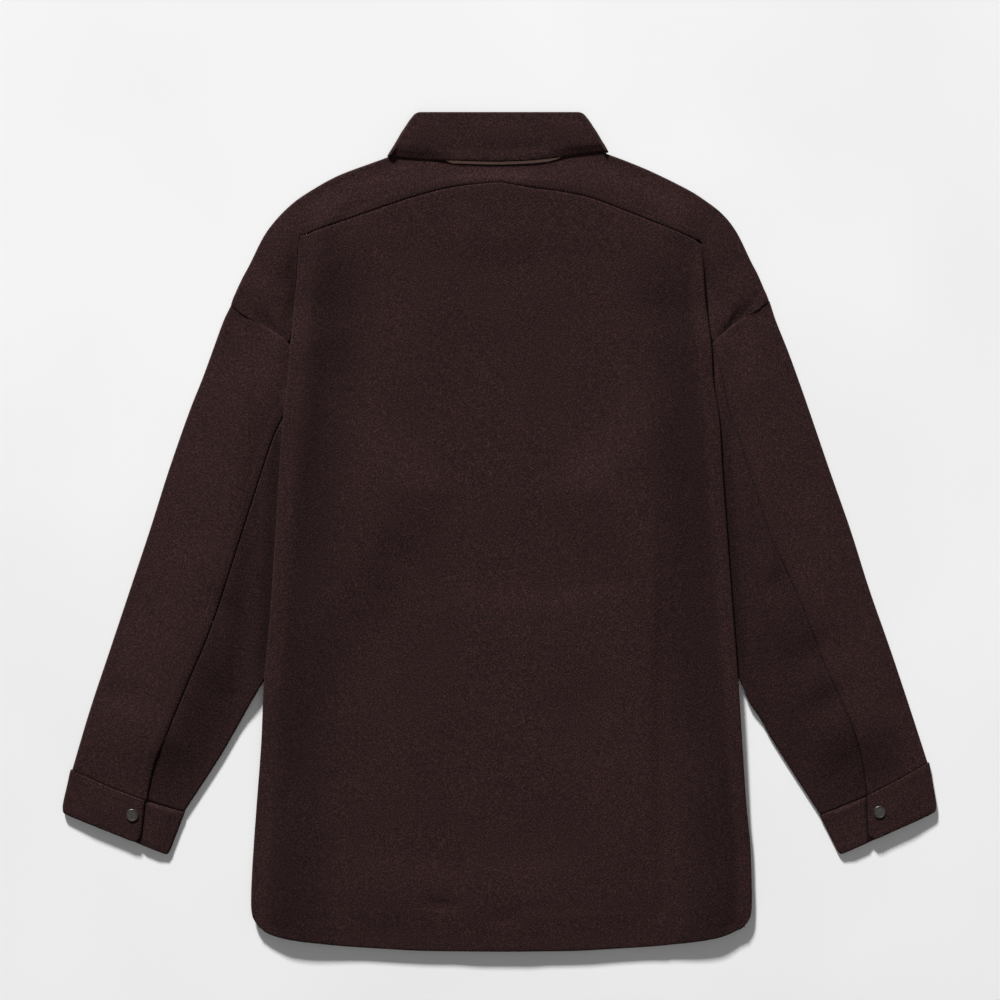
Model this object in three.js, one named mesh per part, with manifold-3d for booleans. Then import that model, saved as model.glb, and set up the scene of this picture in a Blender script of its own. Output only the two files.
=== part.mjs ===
// Shacket of brushed wool cloth, laid flat on a table with its back up.
//
// All sizes are in millimetres. x runs across the back, y runs up to the collar and z runs up
// from the table. "down" is the distance below the top fold of the collar, "out" is the distance
// from the middle line of the back, and a side is -1 for the left of the view and 1 for the right.

import * as THREE from 'three';
import Module from 'manifold-3d';

const wasm = await Module();
wasm.setup();

// Cloth and how it lies

const LENGTH = 840;
const CLOTH = 1.6;
const AIR = 0.4;
const PLY = CLOTH + AIR;
const SEAM_GAP = 0.3;
const TIGHT_FOLD = 2 * CLOTH + AIR;
const CUFF_CLOTH = 2;
const STEP = 1e-3;

// Heights of the top face of each cloth over the table

const BACK_REST = 5;
const TUCK_LIFT = 2.6;
const SLEEVE_LIFT = 4;
const SLEEVE_LOFT = 0.9;
const SHOULDER_LOFT = 1.1;
const COLLAR_LEAF_LIFT = PLY;
const NECK_LIFT = 0.6;
const OVERLAP_RIDGE = 2;
const CUFF_TOP = 3 * CUFF_CLOTH + 2 * AIR;
const CUFF_EDGE_TOP = 5.6;

// Body: the fold down each side, how deep the cloth turns in there, and the hem

const BODY_EDGE = [
  { down: 128, left: 201, right: 203.5 },
  { down: 162, left: 202.5, right: 205 },
  { down: 191, left: 205, right: 207 },
  { down: 233, left: 209, right: 212 },
  { down: 268, left: 211.5, right: 214 },
  { down: 306, left: 216, right: 220 },
  { down: 353, left: 219.5, right: 223 },
  { down: 410, left: 223, right: 227 },
  { down: 503, left: 229, right: 234 },
  { down: 568, left: 235, right: 239 },
  { down: 631, left: 238, right: 243 },
  { down: 696, left: 243, right: 247.5 },
  { down: 730, left: 245.5, right: 251 },
  { down: 766, left: 247.7, right: 252.5 },
  { down: 793, left: 248.2, right: 252.5 },
  { down: 810, left: 243, right: 247.4 },
];
const BODY_TOP = 128;
const BODY_BOTTOM = 810;
const FRONT_BOTTOM = 806;
const FRONT_INSET = 3;
const ARMHOLE_INSET = 4;
const KNEE_SHARE = 0.75;

const TUCK = [
  { down: 128, depth: 5 },
  { down: 190, depth: 5.5 },
  { down: 234, depth: 7 },
  { down: 264, depth: 16 },
  { down: 303, depth: 41 },
  { down: 343, depth: 73 },
  { down: 378, depth: 101 },
  { down: 410, depth: 95 },
  { down: 460, depth: 68 },
  { down: 503, depth: 48 },
  { down: 540, depth: 38 },
  { down: 600, depth: 34 },
  { down: 810, depth: 28 },
];

const HEM = [
  { out: 0, down: 840 },
  { out: 75, down: 839.3 },
  { out: 110, down: 837.5 },
  { out: 152, down: 834.8 },
  { out: 180, down: 832 },
  { out: 201, down: 829.4 },
  { out: 222, down: 825.2 },
  { out: 237, down: 819 },
  { out: 247, down: 810 },
];

const OVERLAP = 15;
const OVERLAP_RISE = 46;

// Yoke: the sections from its seam up to the shoulder fold, on each side of the middle

const YOKE_LEFT = [
  { seamOut: 0, seamDown: 69.8, foldOut: 0, foldDown: 34 },
  { seamOut: 46, seamDown: 75, foldOut: 40, foldDown: 34.5 },
  { seamOut: 83, seamDown: 84, foldOut: 72, foldDown: 35.3 },
  { seamOut: 112, seamDown: 93.5, foldOut: 96, foldDown: 38.4 },
  { seamOut: 142, seamDown: 103.6, foldOut: 115, foldDown: 46 },
  { seamOut: 180, seamDown: 117, foldOut: 160, foldDown: 62.5 },
  { seamOut: 192, seamDown: 122, foldOut: 190, foldDown: 79 },
  { seamOut: 200.5, seamDown: 127.6, foldOut: 207, foldDown: 91 },
  { seamOut: 203, seamDown: 160, foldOut: 222, foldDown: 105.5 },
  { seamOut: 206, seamDown: 200, foldOut: 236, foldDown: 124 },
  { seamOut: 211, seamDown: 229.6, foldOut: 250, foldDown: 152 },
  { seamOut: 222.6, seamDown: 222.8, foldOut: 257, foldDown: 165 },
  { seamOut: 243.6, seamDown: 210, foldOut: 264, foldDown: 180 },
  { seamOut: 261, seamDown: 199.7, foldOut: 268.8, foldDown: 193 },
];
const YOKE_RIGHT = [
  { seamOut: 0, seamDown: 69.8, foldOut: 0, foldDown: 34 },
  { seamOut: 34, seamDown: 76, foldOut: 34, foldDown: 34.5 },
  { seamOut: 59, seamDown: 79, foldOut: 60, foldDown: 35 },
  { seamOut: 92, seamDown: 86, foldOut: 92, foldDown: 37 },
  { seamOut: 128, seamDown: 99.2, foldOut: 112, foldDown: 43 },
  { seamOut: 163, seamDown: 113.2, foldOut: 148, foldDown: 57 },
  { seamOut: 193, seamDown: 126, foldOut: 187, foldDown: 76 },
  { seamOut: 203, seamDown: 132.4, foldOut: 207, foldDown: 88.5 },
  { seamOut: 205, seamDown: 160, foldOut: 224, foldDown: 102 },
  { seamOut: 208, seamDown: 196, foldOut: 238, foldDown: 120 },
  { seamOut: 214, seamDown: 229, foldOut: 252, foldDown: 148.5 },
  { seamOut: 232, seamDown: 215.3, foldOut: 259, foldDown: 162 },
  { seamOut: 250, seamDown: 202.9, foldOut: 265, foldDown: 176 },
  { seamOut: 263, seamDown: 195.1, foldOut: 270.3, foldDown: 189 },
];
const YOKE_WRAP = 30;
const SHOULDER_FOLD = 2.4;
const NECK_HALF = 104;
const NECK_DOWN = 38;
const NECK_DROP = 45;
const NECK_SLACK = 2.5;

// Sleeves: the armhole seam, the outer fold, the inner fold and the back seam of each

const ARMHOLE = {
  left: [
    { out: 267, down: 197.6 },
    { out: 244, down: 211 },
    { out: 223, down: 223.8 },
    { out: 211, down: 234 },
    { out: 197, down: 264 },
    { out: 175, down: 303 },
    { out: 146, down: 343 },
    { out: 119, down: 378 },
  ],
  right: [
    { out: 268, down: 193.4 },
    { out: 250.5, down: 203.8 },
    { out: 232.5, down: 216.3 },
    { out: 214, down: 233 },
    { out: 199, down: 264 },
    { out: 177, down: 303 },
    { out: 148, down: 343 },
    { out: 121, down: 378 },
  ],
};
const OUTER_FOLD = {
  left: [
    { out: 270, down: 195.5 },
    { out: 276, down: 208 },
    { out: 287, down: 238 },
    { out: 298, down: 268 },
    { out: 310, down: 298 },
    { out: 331, down: 358 },
    { out: 350, down: 418 },
    { out: 370, down: 478 },
    { out: 390, down: 538 },
    { out: 410, down: 598 },
    { out: 427.8, down: 658.2 },
  ],
  right: [
    { out: 271.5, down: 191 },
    { out: 277, down: 208 },
    { out: 289, down: 238 },
    { out: 300, down: 268 },
    { out: 310.5, down: 298 },
    { out: 331, down: 358 },
    { out: 352, down: 418 },
    { out: 371, down: 478 },
    { out: 392, down: 538 },
    { out: 412, down: 598 },
    { out: 429.2, down: 651.4 },
  ],
};
const INNER_FOLD = {
  left: [
    { out: 119, down: 378 },
    { out: 177, down: 473 },
    { out: 234.8, down: 568 },
    { out: 248, down: 590 },
    { out: 266, down: 622 },
    { out: 280.6, down: 647 },
    { out: 315.3, down: 700 },
  ],
  right: [
    { out: 121, down: 378 },
    { out: 181, down: 473 },
    { out: 239.8, down: 567 },
    { out: 250, down: 590 },
    { out: 262, down: 608 },
    { out: 272.4, down: 627 },
    { out: 321.2, down: 703 },
  ],
};
const BACK_SEAM = {
  left: [
    { out: 197, down: 264 },
    { out: 217, down: 306 },
    { out: 226, down: 325 },
    { out: 240, down: 367 },
    { out: 278.6, down: 488 },
    { out: 292, down: 526 },
    { out: 308, down: 563.5 },
    { out: 322, down: 597 },
    { out: 335, down: 629 },
    { out: 344, down: 650 },
    { out: 349, down: 668 },
    { out: 353, down: 688.6 },
  ],
  right: [
    { out: 214, down: 233 },
    { out: 222.8, down: 264 },
    { out: 232.8, down: 310 },
    { out: 240, down: 328 },
    { out: 253.8, down: 371 },
    { out: 271.8, down: 426 },
    { out: 300.8, down: 490 },
    { out: 325.3, down: 553 },
    { out: 341, down: 588 },
    { out: 356, down: 622 },
    { out: 365, down: 655 },
    { out: 369, down: 683 },
  ],
};
const OUTER_RADIUS = 2.3;
const INNER_RADIUS = 1.8;
const FRONT_SEAM_SHARE = 0.45;
const SLIT_LAP = 8;
const SLIT_RISE = 1.4;

// Cuffs: the four corners, the share of the width where the tab ends, and the lap under it

const CUFFS = {
  left: {
    sleeveOuter: [427.8, 658.5],
    sleeveInner: [314.8, 700.5],
    hemOuter: [439, 700],
    hemInner: [331.5, 744],
    tabShare: 0.325,
    snap: [367.2, 703.4],
  },
  right: {
    sleeveOuter: [429.2, 651.5],
    sleeveInner: [320.8, 703.5],
    hemOuter: [439, 699],
    hemInner: [341, 744],
    tabShare: 0.42,
    snap: [380.4, 700.3],
  },
};
const CUFF_LAP_SHARE = 0.12;
const CUFF_RADIUS = 2.8;
const CUFF_BOW = 3.2;
const CUFF_LEAN = [0.91, -0.41];

// Collar: the side folds, the free edge of the fall and of the leaves

const COLLAR_SIDE = [
  { down: 0, out: 82.5 },
  { down: 2, out: 85 },
  { down: 8, out: 90 },
  { down: 14, out: 94 },
  { down: 20, out: 98 },
  { down: 26, out: 101.5 },
  { down: 32, out: 105 },
  { down: 38, out: 108.5 },
  { down: 42, out: 110.5 },
];
const COLLAR_SIDE_END = 42;
const FALL_EDGE = [
  { across: -111, down: 42 },
  { across: -88, down: 46 },
  { across: -71, down: 48 },
  { across: -42, down: 49 },
  { across: -4, down: 50 },
  { across: 34, down: 48.6 },
  { across: 65, down: 44.6 },
  { across: 85, down: 41 },
  { across: 101, down: 38.6 },
  { across: 111, down: 38 },
];
const LEAF_POINT = { out: 52, down: 100 };
const LEAF_START = 14;
const COLLAR_HEIGHT = 9.6;
const COLLAR_ROLL = 2.2;
const COLLAR_CAP = 3.4;
const UNDER_PEEK = 3.2;
const UNDER_INSET = 7.5;
const STAND_INSET = 5.6;
const STAND_TOP = 2.7;
const STAND_HEIGHT = 35;
const STAND_DROP = 1.5;

// Snaps

const SNAP_RADIUS = 6.25;
const SNAP_SIDES = 16;
const FRONT_SNAPS = 6;
const FRONT_SNAP_FIRST = 150;
const FRONT_SNAP_PITCH = 118;
const SNAP_GAP = 0.3;

const FINISHES = {
  wool: { color: 0x2f2020, roughness: 0.95, metalness: 0 },
  underCollar: { color: 0x6e574e, roughness: 0.95, metalness: 0 },
  gunmetal: { color: 0x4a4746, roughness: 0.35, metalness: 1 },
};

// Curves through tables

const clamp = (value, low, high) => Math.min(Math.max(value, low), high);
const mix = (from, to, share) => from + (to - from) * share;

// Soft step from 0 at start to 1 at end, in either order.
function smooth(value, start, end) {
  const share = clamp((value - start) / (end - start), 0, 1);
  return share * share * (3 - 2 * share);
}

// Smooth curve through (knot, value) pairs, held level beyond its ends.
function through(knots, values, at) {
  const last = knots.length - 1;
  const place = clamp(at, knots[0], knots[last]);
  let index = 0;
  while (index < last - 1 && place > knots[index + 1]) {
    index += 1;
  }
  const slope = (k) => {
    const before = Math.max(k - 1, 0);
    const after = Math.min(k + 1, last);
    return (values[after] - values[before]) / (knots[after] - knots[before]);
  };
  const width = knots[index + 1] - knots[index];
  const s = (place - knots[index]) / width;
  const rise = mix(values[index], values[index + 1], s * s * (3 - 2 * s));
  const lean = (s ** 3 - 2 * s ** 2 + s) * slope(index) + (s ** 3 - s ** 2) * slope(index + 1);
  return rise + lean * width;
}

const column = (table, name) => table.map((row) => row[name]);

// Function of "down" or another key column, from a table.
function tableFunction(table, key, name) {
  const knots = column(table, key);
  const values = column(table, name);
  return (at) => through(knots, values, at);
}

// Smooth plan curve from 0 to 1 through points [out, down], spaced by their distances.
function planCurve(points) {
  const knots = [0];
  for (let i = 1; i < points.length; i += 1) {
    const reach = Math.hypot(points[i][0] - points[i - 1][0], points[i][1] - points[i - 1][1]);
    knots.push(knots[i - 1] + reach);
  }
  const total = knots[knots.length - 1];
  const shares = knots.map((knot) => knot / total);
  const outs = points.map((point) => point[0]);
  const downs = points.map((point) => point[1]);
  return (t) => [through(shares, outs, t), through(shares, downs, t)];
}

const tableCurve = (table) => planCurve(table.map((row) => [row.out, row.down]));

// Unit normal of a plan curve, to the side given by turn.
function curveNormal(curve, t, turn) {
  const before = curve(Math.max(t - STEP, 0));
  const after = curve(Math.min(t + STEP, 1));
  const along = [after[0] - before[0], after[1] - before[1]];
  const size = Math.hypot(along[0], along[1]);
  return [(turn * along[1]) / size, (-turn * along[0]) / size];
}

const shifted = (point, direction, by) => [point[0] + direction[0] * by, point[1] + direction[1] * by];
const offsetCurve = (curve, turn, by) => (t) => shifted(curve(t), curveNormal(curve, t, turn), by);
const blend = (first, second, share) => [mix(first[0], second[0], share), mix(first[1], second[1], share)];

// Plan patch between four curves: w runs from start to end, t from near to far.
function patch(start, end, near, far) {
  const corners = [start(0), end(0), start(1), end(1)];
  return (w, t) => {
    const across = blend(start(t), end(t), w);
    const along = blend(near(w), far(w), t);
    const nearCorner = blend(corners[0], corners[1], w);
    const farCorner = blend(corners[2], corners[3], w);
    const shared = blend(nearCorner, farCorner, t);
    return [across[0] + along[0] - shared[0], across[1] + along[1] - shared[1]];
  };
}

// Half-round fold seen in section: place and height at an angle from 0 on top to pi below.
function foldPoint(edge, normal, radius, top, bottom, angle) {
  const place = shifted(edge, normal, radius * (Math.sin(angle) - 1));
  const height = (top + bottom) / 2 + ((top - bottom) / 2) * Math.cos(angle);
  return [place[0], place[1], height];
}

// Heights of the cloths

const sideName = (side) => (side < 0 ? 'left' : 'right');
const bodyEdges = {
  left: tableFunction(BODY_EDGE, 'down', 'left'),
  right: tableFunction(BODY_EDGE, 'down', 'right'),
};
const bodyEdge = (side, down) => bodyEdges[sideName(side)](down);
const tuckDepth = tableFunction(TUCK, 'down', 'depth');
const hemDown = tableFunction(HEM, 'out', 'down');

// How far the sleeve reaches in under the body's side fold; below zero where it is clear of it.
function sleeveReach(side, down) {
  const underarm = 378;
  if (down < underarm) {
    return tuckDepth(down);
  }
  const lean = 0.609;
  const inner = 119 + (down - underarm) * lean;
  return bodyEdge(side, down) - inner;
}

const sleeveRow = (down) => smooth(down, 190, 238);

function nearCollarLeaf(out, down) {
  return smooth(out, 135, 111) * smooth(down, 127, 105);
}

// Under face of the cloth that lies on the table: the fronts and the turned part of the yoke.
function frontUnder(x, down) {
  return COLLAR_LEAF_LIFT * nearCollarLeaf(Math.abs(x), down);
}

function backTop(x, down) {
  const side = x < 0 ? -1 : 1;
  const out = Math.abs(x);
  const inside = bodyEdge(side, down) - out;
  const depth = tuckDepth(down);
  const reach = sleeveReach(side, down);
  const tuck = TUCK_LIFT * smooth(inside, depth + 34, depth + 4) * smooth(down, 70, 128);
  const sleeve = SLEEVE_LIFT * smooth(inside, reach + 26, reach + 4) * sleeveRow(down);
  const neck = NECK_LIFT * smooth(out, 150, 112) * smooth(down, 150, 120);
  const ridgeRows = smooth(down, 52, 72) * mix(1, 0.35, smooth(down, 125, 160));
  const ridge = OVERLAP_RIDGE * ridgeRows * smooth(out, 50, 20);
  return BACK_REST + tuck + sleeve + neck + ridge;
}

// Under face of the sleeve: on the table, or raised where it lies on the side of the body.
function sleeveUnder(side, out, down) {
  const beyond = out - bodyEdge(side, down);
  const rows = sleeveRow(down) * (1 - smooth(down, 575, 640));
  return SLEEVE_LIFT * rows * (1 - smooth(beyond, 6, 32));
}

function sleeveTop(side, out, down, shoulder) {
  const beyond = out - bodyEdge(side, down);
  const loft = SLEEVE_LOFT * smooth(beyond, 3, 30);
  const lift = SHOULDER_LOFT * shoulder * smooth(beyond, 0, 12);
  return sleeveUnder(side, out, down) + TIGHT_FOLD + loft + lift;
}

function yokeTop(x, down) {
  const side = x < 0 ? -1 : 1;
  const out = Math.abs(x);
  const lobe = sleeveTop(side, out, down, smooth(down, 150, 195));
  return mix(backTop(x, down), lobe, smooth(out, 188, 199));
}

// Walls of cloth

const toWorld = (x, down, z) => new THREE.Vector3(x, LENGTH / 2 - down, z);

function steps(from, to, count) {
  return Array.from({ length: count + 1 }, (unused, i) => mix(from, to, i / count));
}

// Joins runs of parameter values, leaving out the value that two runs share.
const joined = (...runs) => runs.flatMap((run, i) => (i === 0 ? run : run.slice(1)));

// Closed wall: the outer face is surface(u, v), the inner face lies one thickness behind it.
// The outer face looks up where u and v are as in lookingUp.
function wallGeometry(surface, us, vs, thickness, lookingUp) {
  const clampU = (u) => clamp(u, us[0], us[us.length - 1]);
  const clampV = (v) => clamp(v, vs[0], vs[vs.length - 1]);
  const normalAt = (u, v) => {
    const alongU = surface(clampU(u + STEP), v).sub(surface(clampU(u - STEP), v));
    const alongV = surface(u, clampV(v + STEP)).sub(surface(u, clampV(v - STEP)));
    return alongU.cross(alongV).normalize();
  };
  const turn = normalAt(lookingUp[0], lookingUp[1]).z > 0 ? 1 : -1;
  const outer = [];
  const inner = [];
  for (const v of vs) {
    for (const u of us) {
      const point = surface(u, v);
      const normal = normalAt(u, v).multiplyScalar(turn);
      outer.push(point);
      inner.push(point.clone().addScaledVector(normal, -thickness));
    }
  }
  const width = us.length;
  const height = vs.length;
  const points = [...outer, ...inner];
  const faces = [];
  const quad = (a, b, c, d) => faces.push(a, b, c, a, c, d);
  const back = width * height;
  for (let row = 0; row < height - 1; row += 1) {
    for (let i = 0; i < width - 1; i += 1) {
      const a = row * width + i;
      quad(a, a + 1, a + width + 1, a + width);
      quad(back + a, back + a + width, back + a + width + 1, back + a + 1);
    }
  }
  for (let i = 0; i < width - 1; i += 1) {
    const top = (height - 1) * width + i;
    quad(i, back + i, back + i + 1, i + 1);
    quad(top, top + 1, back + top + 1, back + top);
  }
  for (let row = 0; row < height - 1; row += 1) {
    const first = row * width;
    const end = first + width - 1;
    quad(first, first + width, back + first + width, back + first);
    quad(end, back + end, back + end + width, end + width);
  }
  if (turn < 0) {
    for (let i = 0; i < faces.length; i += 3) {
      [faces[i + 1], faces[i + 2]] = [faces[i + 2], faces[i + 1]];
    }
  }
  return closedGeometry(points, faces);
}

function closedGeometry(points, faces) {
  const geometry = new THREE.BufferGeometry();
  const positions = new Float32Array(points.flatMap((point) => [point.x, point.y, point.z]));
  geometry.setAttribute('position', new THREE.BufferAttribute(positions, 3));
  geometry.setIndex(faces);
  return geometry;
}

function toSolid(geometry) {
  const source = geometry.index ? geometry : weld(geometry);
  const mesh = new wasm.Mesh({
    numProp: 3,
    vertProperties: new Float32Array(source.attributes.position.array),
    triVerts: new Uint32Array(source.index.array),
  });
  return new wasm.Manifold(mesh);
}

function fromSolid(solid) {
  const mesh = solid.getMesh();
  const geometry = new THREE.BufferGeometry();
  geometry.setAttribute('position', new THREE.BufferAttribute(new Float32Array(mesh.vertProperties), 3));
  geometry.setIndex(Array.from(mesh.triVerts));
  return geometry;
}

// Gives shared corners to a geometry that three made with separate ones.
function weld(geometry) {
  const position = geometry.attributes.position;
  const seen = new Map();
  const points = [];
  const faces = [];
  for (let i = 0; i < position.count; i += 1) {
    const point = new THREE.Vector3().fromBufferAttribute(position, i);
    const key = point.toArray().map((value) => value.toFixed(4)).join(' ');
    if (!seen.has(key)) {
      seen.set(key, points.length);
      points.push(point);
    }
    faces.push(seen.get(key));
  }
  return closedGeometry(points, faces);
}

// Upright prism over a plan outline of [x, down] points.
function prism(outline, bottom, top) {
  const shape = new THREE.Shape(outline.map(([x, down]) => new THREE.Vector2(x, LENGTH / 2 - down)));
  const extruded = new THREE.ExtrudeGeometry(shape, { depth: top - bottom, bevelEnabled: false });
  extruded.translate(0, 0, bottom);
  return weld(extruded);
}

const group = new THREE.Group();
group.name = 'shacket';

function addPiece(name, geometry, finish) {
  const material = new THREE.MeshStandardMaterial({ ...FINISHES[finish], name: finish });
  const mesh = new THREE.Mesh(geometry, material);
  mesh.name = name;
  group.add(mesh);
}

// Back panel: across the top, round each side fold and in to the side seam

const yokeTables = { left: YOKE_LEFT, right: YOKE_RIGHT };
const seamCurves = {};
for (const name of ['left', 'right']) {
  const rows = yokeTables[name].filter((row) => row.seamDown < 133);
  seamCurves[name] = tableFunction(
    rows.map((row) => ({ out: row.seamOut, down: row.seamDown })),
    'out',
    'down',
  );
}

function foldEdge(side, topDown, bottomDown, inset) {
  return (t) => {
    const down = mix(topDown, bottomDown, t);
    return [bodyEdge(side, down) - inset, down];
  };
}

function addBack() {
  const edges = {};
  const insets = {};
  for (const side of [-1, 1]) {
    const name = sideName(side);
    const topDown = name === 'left' ? BODY_TOP : BODY_TOP + 4.5;
    edges[name] = foldEdge(side, topDown, BODY_BOTTOM, 0);
    insets[name] = offsetCurve(edges[name], 1, -INNER_RADIUS);
  }
  const start = (t) => [-insets.left(t)[0], insets.left(t)[1]];
  const end = insets.right;
  const topEdge = (w) => {
    const x = mix(start(0)[0], end(0)[0], w);
    const seam = x < 0 ? seamCurves.left(-x) : seamCurves.right(x);
    return [x, seam + 2 * SEAM_GAP];
  };
  const hemEdge = (w) => {
    const x = mix(start(1)[0], end(1)[0], w);
    return [x, hemDown(Math.abs(x))];
  };
  const flat = patch(start, end, topEdge, hemEdge);
  const foldAndTuck = (side, u, t) => {
    const name = sideName(side);
    const edge = edges[name](t);
    const normal = curveNormal(edges[name], t, 1);
    const base = insets[name](t);
    const top = backTop(side * base[0], base[1]);
    if (u <= 1) {
      return foldPoint(edge, normal, INNER_RADIUS, top, top - TIGHT_FOLD, u * Math.PI);
    }
    const depth = tuckDepth(edge[1]);
    const knee = clamp(sleeveReach(side, edge[1]) + 2, 0.6 * depth, depth - 1);
    const lying = Math.min((u - 1) / KNEE_SHARE, 1);
    const hanging = clamp((u - 1 - KNEE_SHARE) / (1 - KNEE_SHARE), 0, 1);
    const place = shifted(edge, normal, -mix(mix(INNER_RADIUS, knee, lying), depth, hanging));
    return [place[0], place[1], tuckUnder(side, place, edge[1], hanging)];
  };
  const surface = (u, t) => {
    if (u < 0) {
      const [out, down, z] = foldAndTuck(-1, -u, t);
      return toWorld(-out, down, z);
    }
    if (u > 1) {
      const [out, down, z] = foldAndTuck(1, u - 1, t);
      return toWorld(out, down, z);
    }
    const [x, down] = flat(u, t);
    return toWorld(x, down, backTop(x, down));
  };
  const tuckSteps = [1, 1.25, 1.5, 1.75, 2];
  const foldSteps = steps(0, 1, 4);
  const sideSteps = joined(foldSteps, tuckSteps);
  const us = joined(
    sideSteps.map((u) => -u).reverse(),
    steps(0, 1, 22),
    sideSteps.map((u) => 1 + u),
  );
  const vs = joined(steps(0, 0.16, 5), steps(0.16, 0.66, 13), steps(0.66, 0.9, 3), steps(0.9, 1, 2));
  addPiece('back_panel', wallGeometry(surface, us, vs, CLOTH, [0.5, 0.5]), 'wool');
}

// Under face of the turned side of the back. Below the underarm its seam comes down on the front.
function tuckUnder(side, place, down, hanging) {
  const lying = backTop(side * place[0], place[1]) - TIGHT_FOLD;
  const seamHeight = mix(lying, 2 * PLY, smooth(down, 395, 430));
  return mix(lying, seamHeight, smooth(hanging, 0, 1));
}

// Yoke: over the shoulders and a little way down the front, with the neck cut out

function yokeCurves(side) {
  const rows = yokeTables[sideName(side)];
  const knots = steps(0, 1, rows.length - 1);
  const lookUp = (name) => (s) => through(knots, column(rows, name), s);
  const seamOut = lookUp('seamOut');
  const seamDown = lookUp('seamDown');
  const foldOut = lookUp('foldOut');
  const foldDown = lookUp('foldDown');
  return {
    seam: (s) => [seamOut(s), seamDown(s)],
    fold: (s) => [foldOut(s), foldDown(s)],
  };
}

// Points along the yoke's turned edge, from the neckline out to the armhole.
function yokeWrapEnd(side) {
  const { fold } = yokeCurves(side);
  const reach = YOKE_WRAP + 3 * SEAM_GAP;
  return steps(0, 1, 26)
    .map((s) => shifted(fold(s), curveNormal(fold, s, 1), -reach))
    .filter(([out, down]) => down > frontNeckline(out) + SEAM_GAP);
}

function addYoke() {
  const curves = { left: yokeCurves(-1), right: yokeCurves(1) };
  const surface = (u, v) => {
    const side = u < 0 ? -1 : 1;
    const { seam, fold } = curves[sideName(side)];
    const s = Math.abs(u);
    const edge = fold(s);
    const normal = curveNormal(fold, s, 1);
    const inset = shifted(edge, normal, -SHOULDER_FOLD);
    const top = yokeTop(side * inset[0], inset[1]);
    const bottom = frontUnder(side * inset[0], inset[1]);
    if (v < 1) {
      const place = blend(seam(s), inset, v);
      return toWorld(side * place[0], place[1], yokeTop(side * place[0], place[1]));
    }
    if (v <= 2) {
      const [out, down, z] = foldPoint(edge, normal, SHOULDER_FOLD, top, bottom, (v - 1) * Math.PI);
      return toWorld(side * out, down, z);
    }
    const place = shifted(edge, normal, -mix(SHOULDER_FOLD, YOKE_WRAP, v - 2));
    return toWorld(side * place[0], place[1], frontUnder(side * place[0], place[1]));
  };
  const sections = YOKE_LEFT.length - 1;
  const half = steps(0, 1, 2 * sections);
  const us = joined(half.map((s) => -s).reverse(), half);
  const vs = joined(steps(0, 1, 5), steps(1, 2, 4), steps(2, 3, 2));
  const whole = toSolid(wallGeometry(surface, us, vs, CLOTH, [0, 0]));
  const backCut = [
    [-NECK_HALF, 0],
    [NECK_HALF, 0],
    [NECK_HALF, NECK_DOWN],
    [-NECK_HALF, NECK_DOWN],
  ];
  const frontHalf = NECK_HALF - 1.3;
  const curve = steps(-frontHalf, frontHalf, 16).map((x) => [x, frontNeckline(x)]);
  const frontCut = [[-frontHalf, 5], ...curve, [frontHalf, 5]];
  const layerTop = COLLAR_LEAF_LIFT + CLOTH + AIR * 0.7;
  const trimmed = whole
    .subtract(toSolid(prism(backCut, -1, COLLAR_HEIGHT)))
    .subtract(toSolid(prism(frontCut, -1, layerTop)));
  addPiece('back_yoke', fromSolid(trimmed), 'wool');
}

function frontNeckline(x) {
  const share = clamp(Math.abs(x) / NECK_HALF, 0, 1);
  return NECK_DOWN + NECK_SLACK + NECK_DROP * (1 - share * share);
}

// Fronts: flat on the table, with each side turned in

function frontEdge(side) {
  const name = sideName(side);
  const armhole = tableCurve(ARMHOLE[name]);
  const points = [];
  for (const t of [0.14, 0.19, 0.24]) {
    points.push(shifted(armhole(t), curveNormal(armhole, t, -1), ARMHOLE_INSET));
  }
  for (const down of [242, 262, 290, 320, 378, 440, 503, 568, 631, 696, 745, 785, FRONT_BOTTOM]) {
    points.push([bodyEdge(side, down) - FRONT_INSET, down]);
  }
  return planCurve(points);
}

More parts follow.
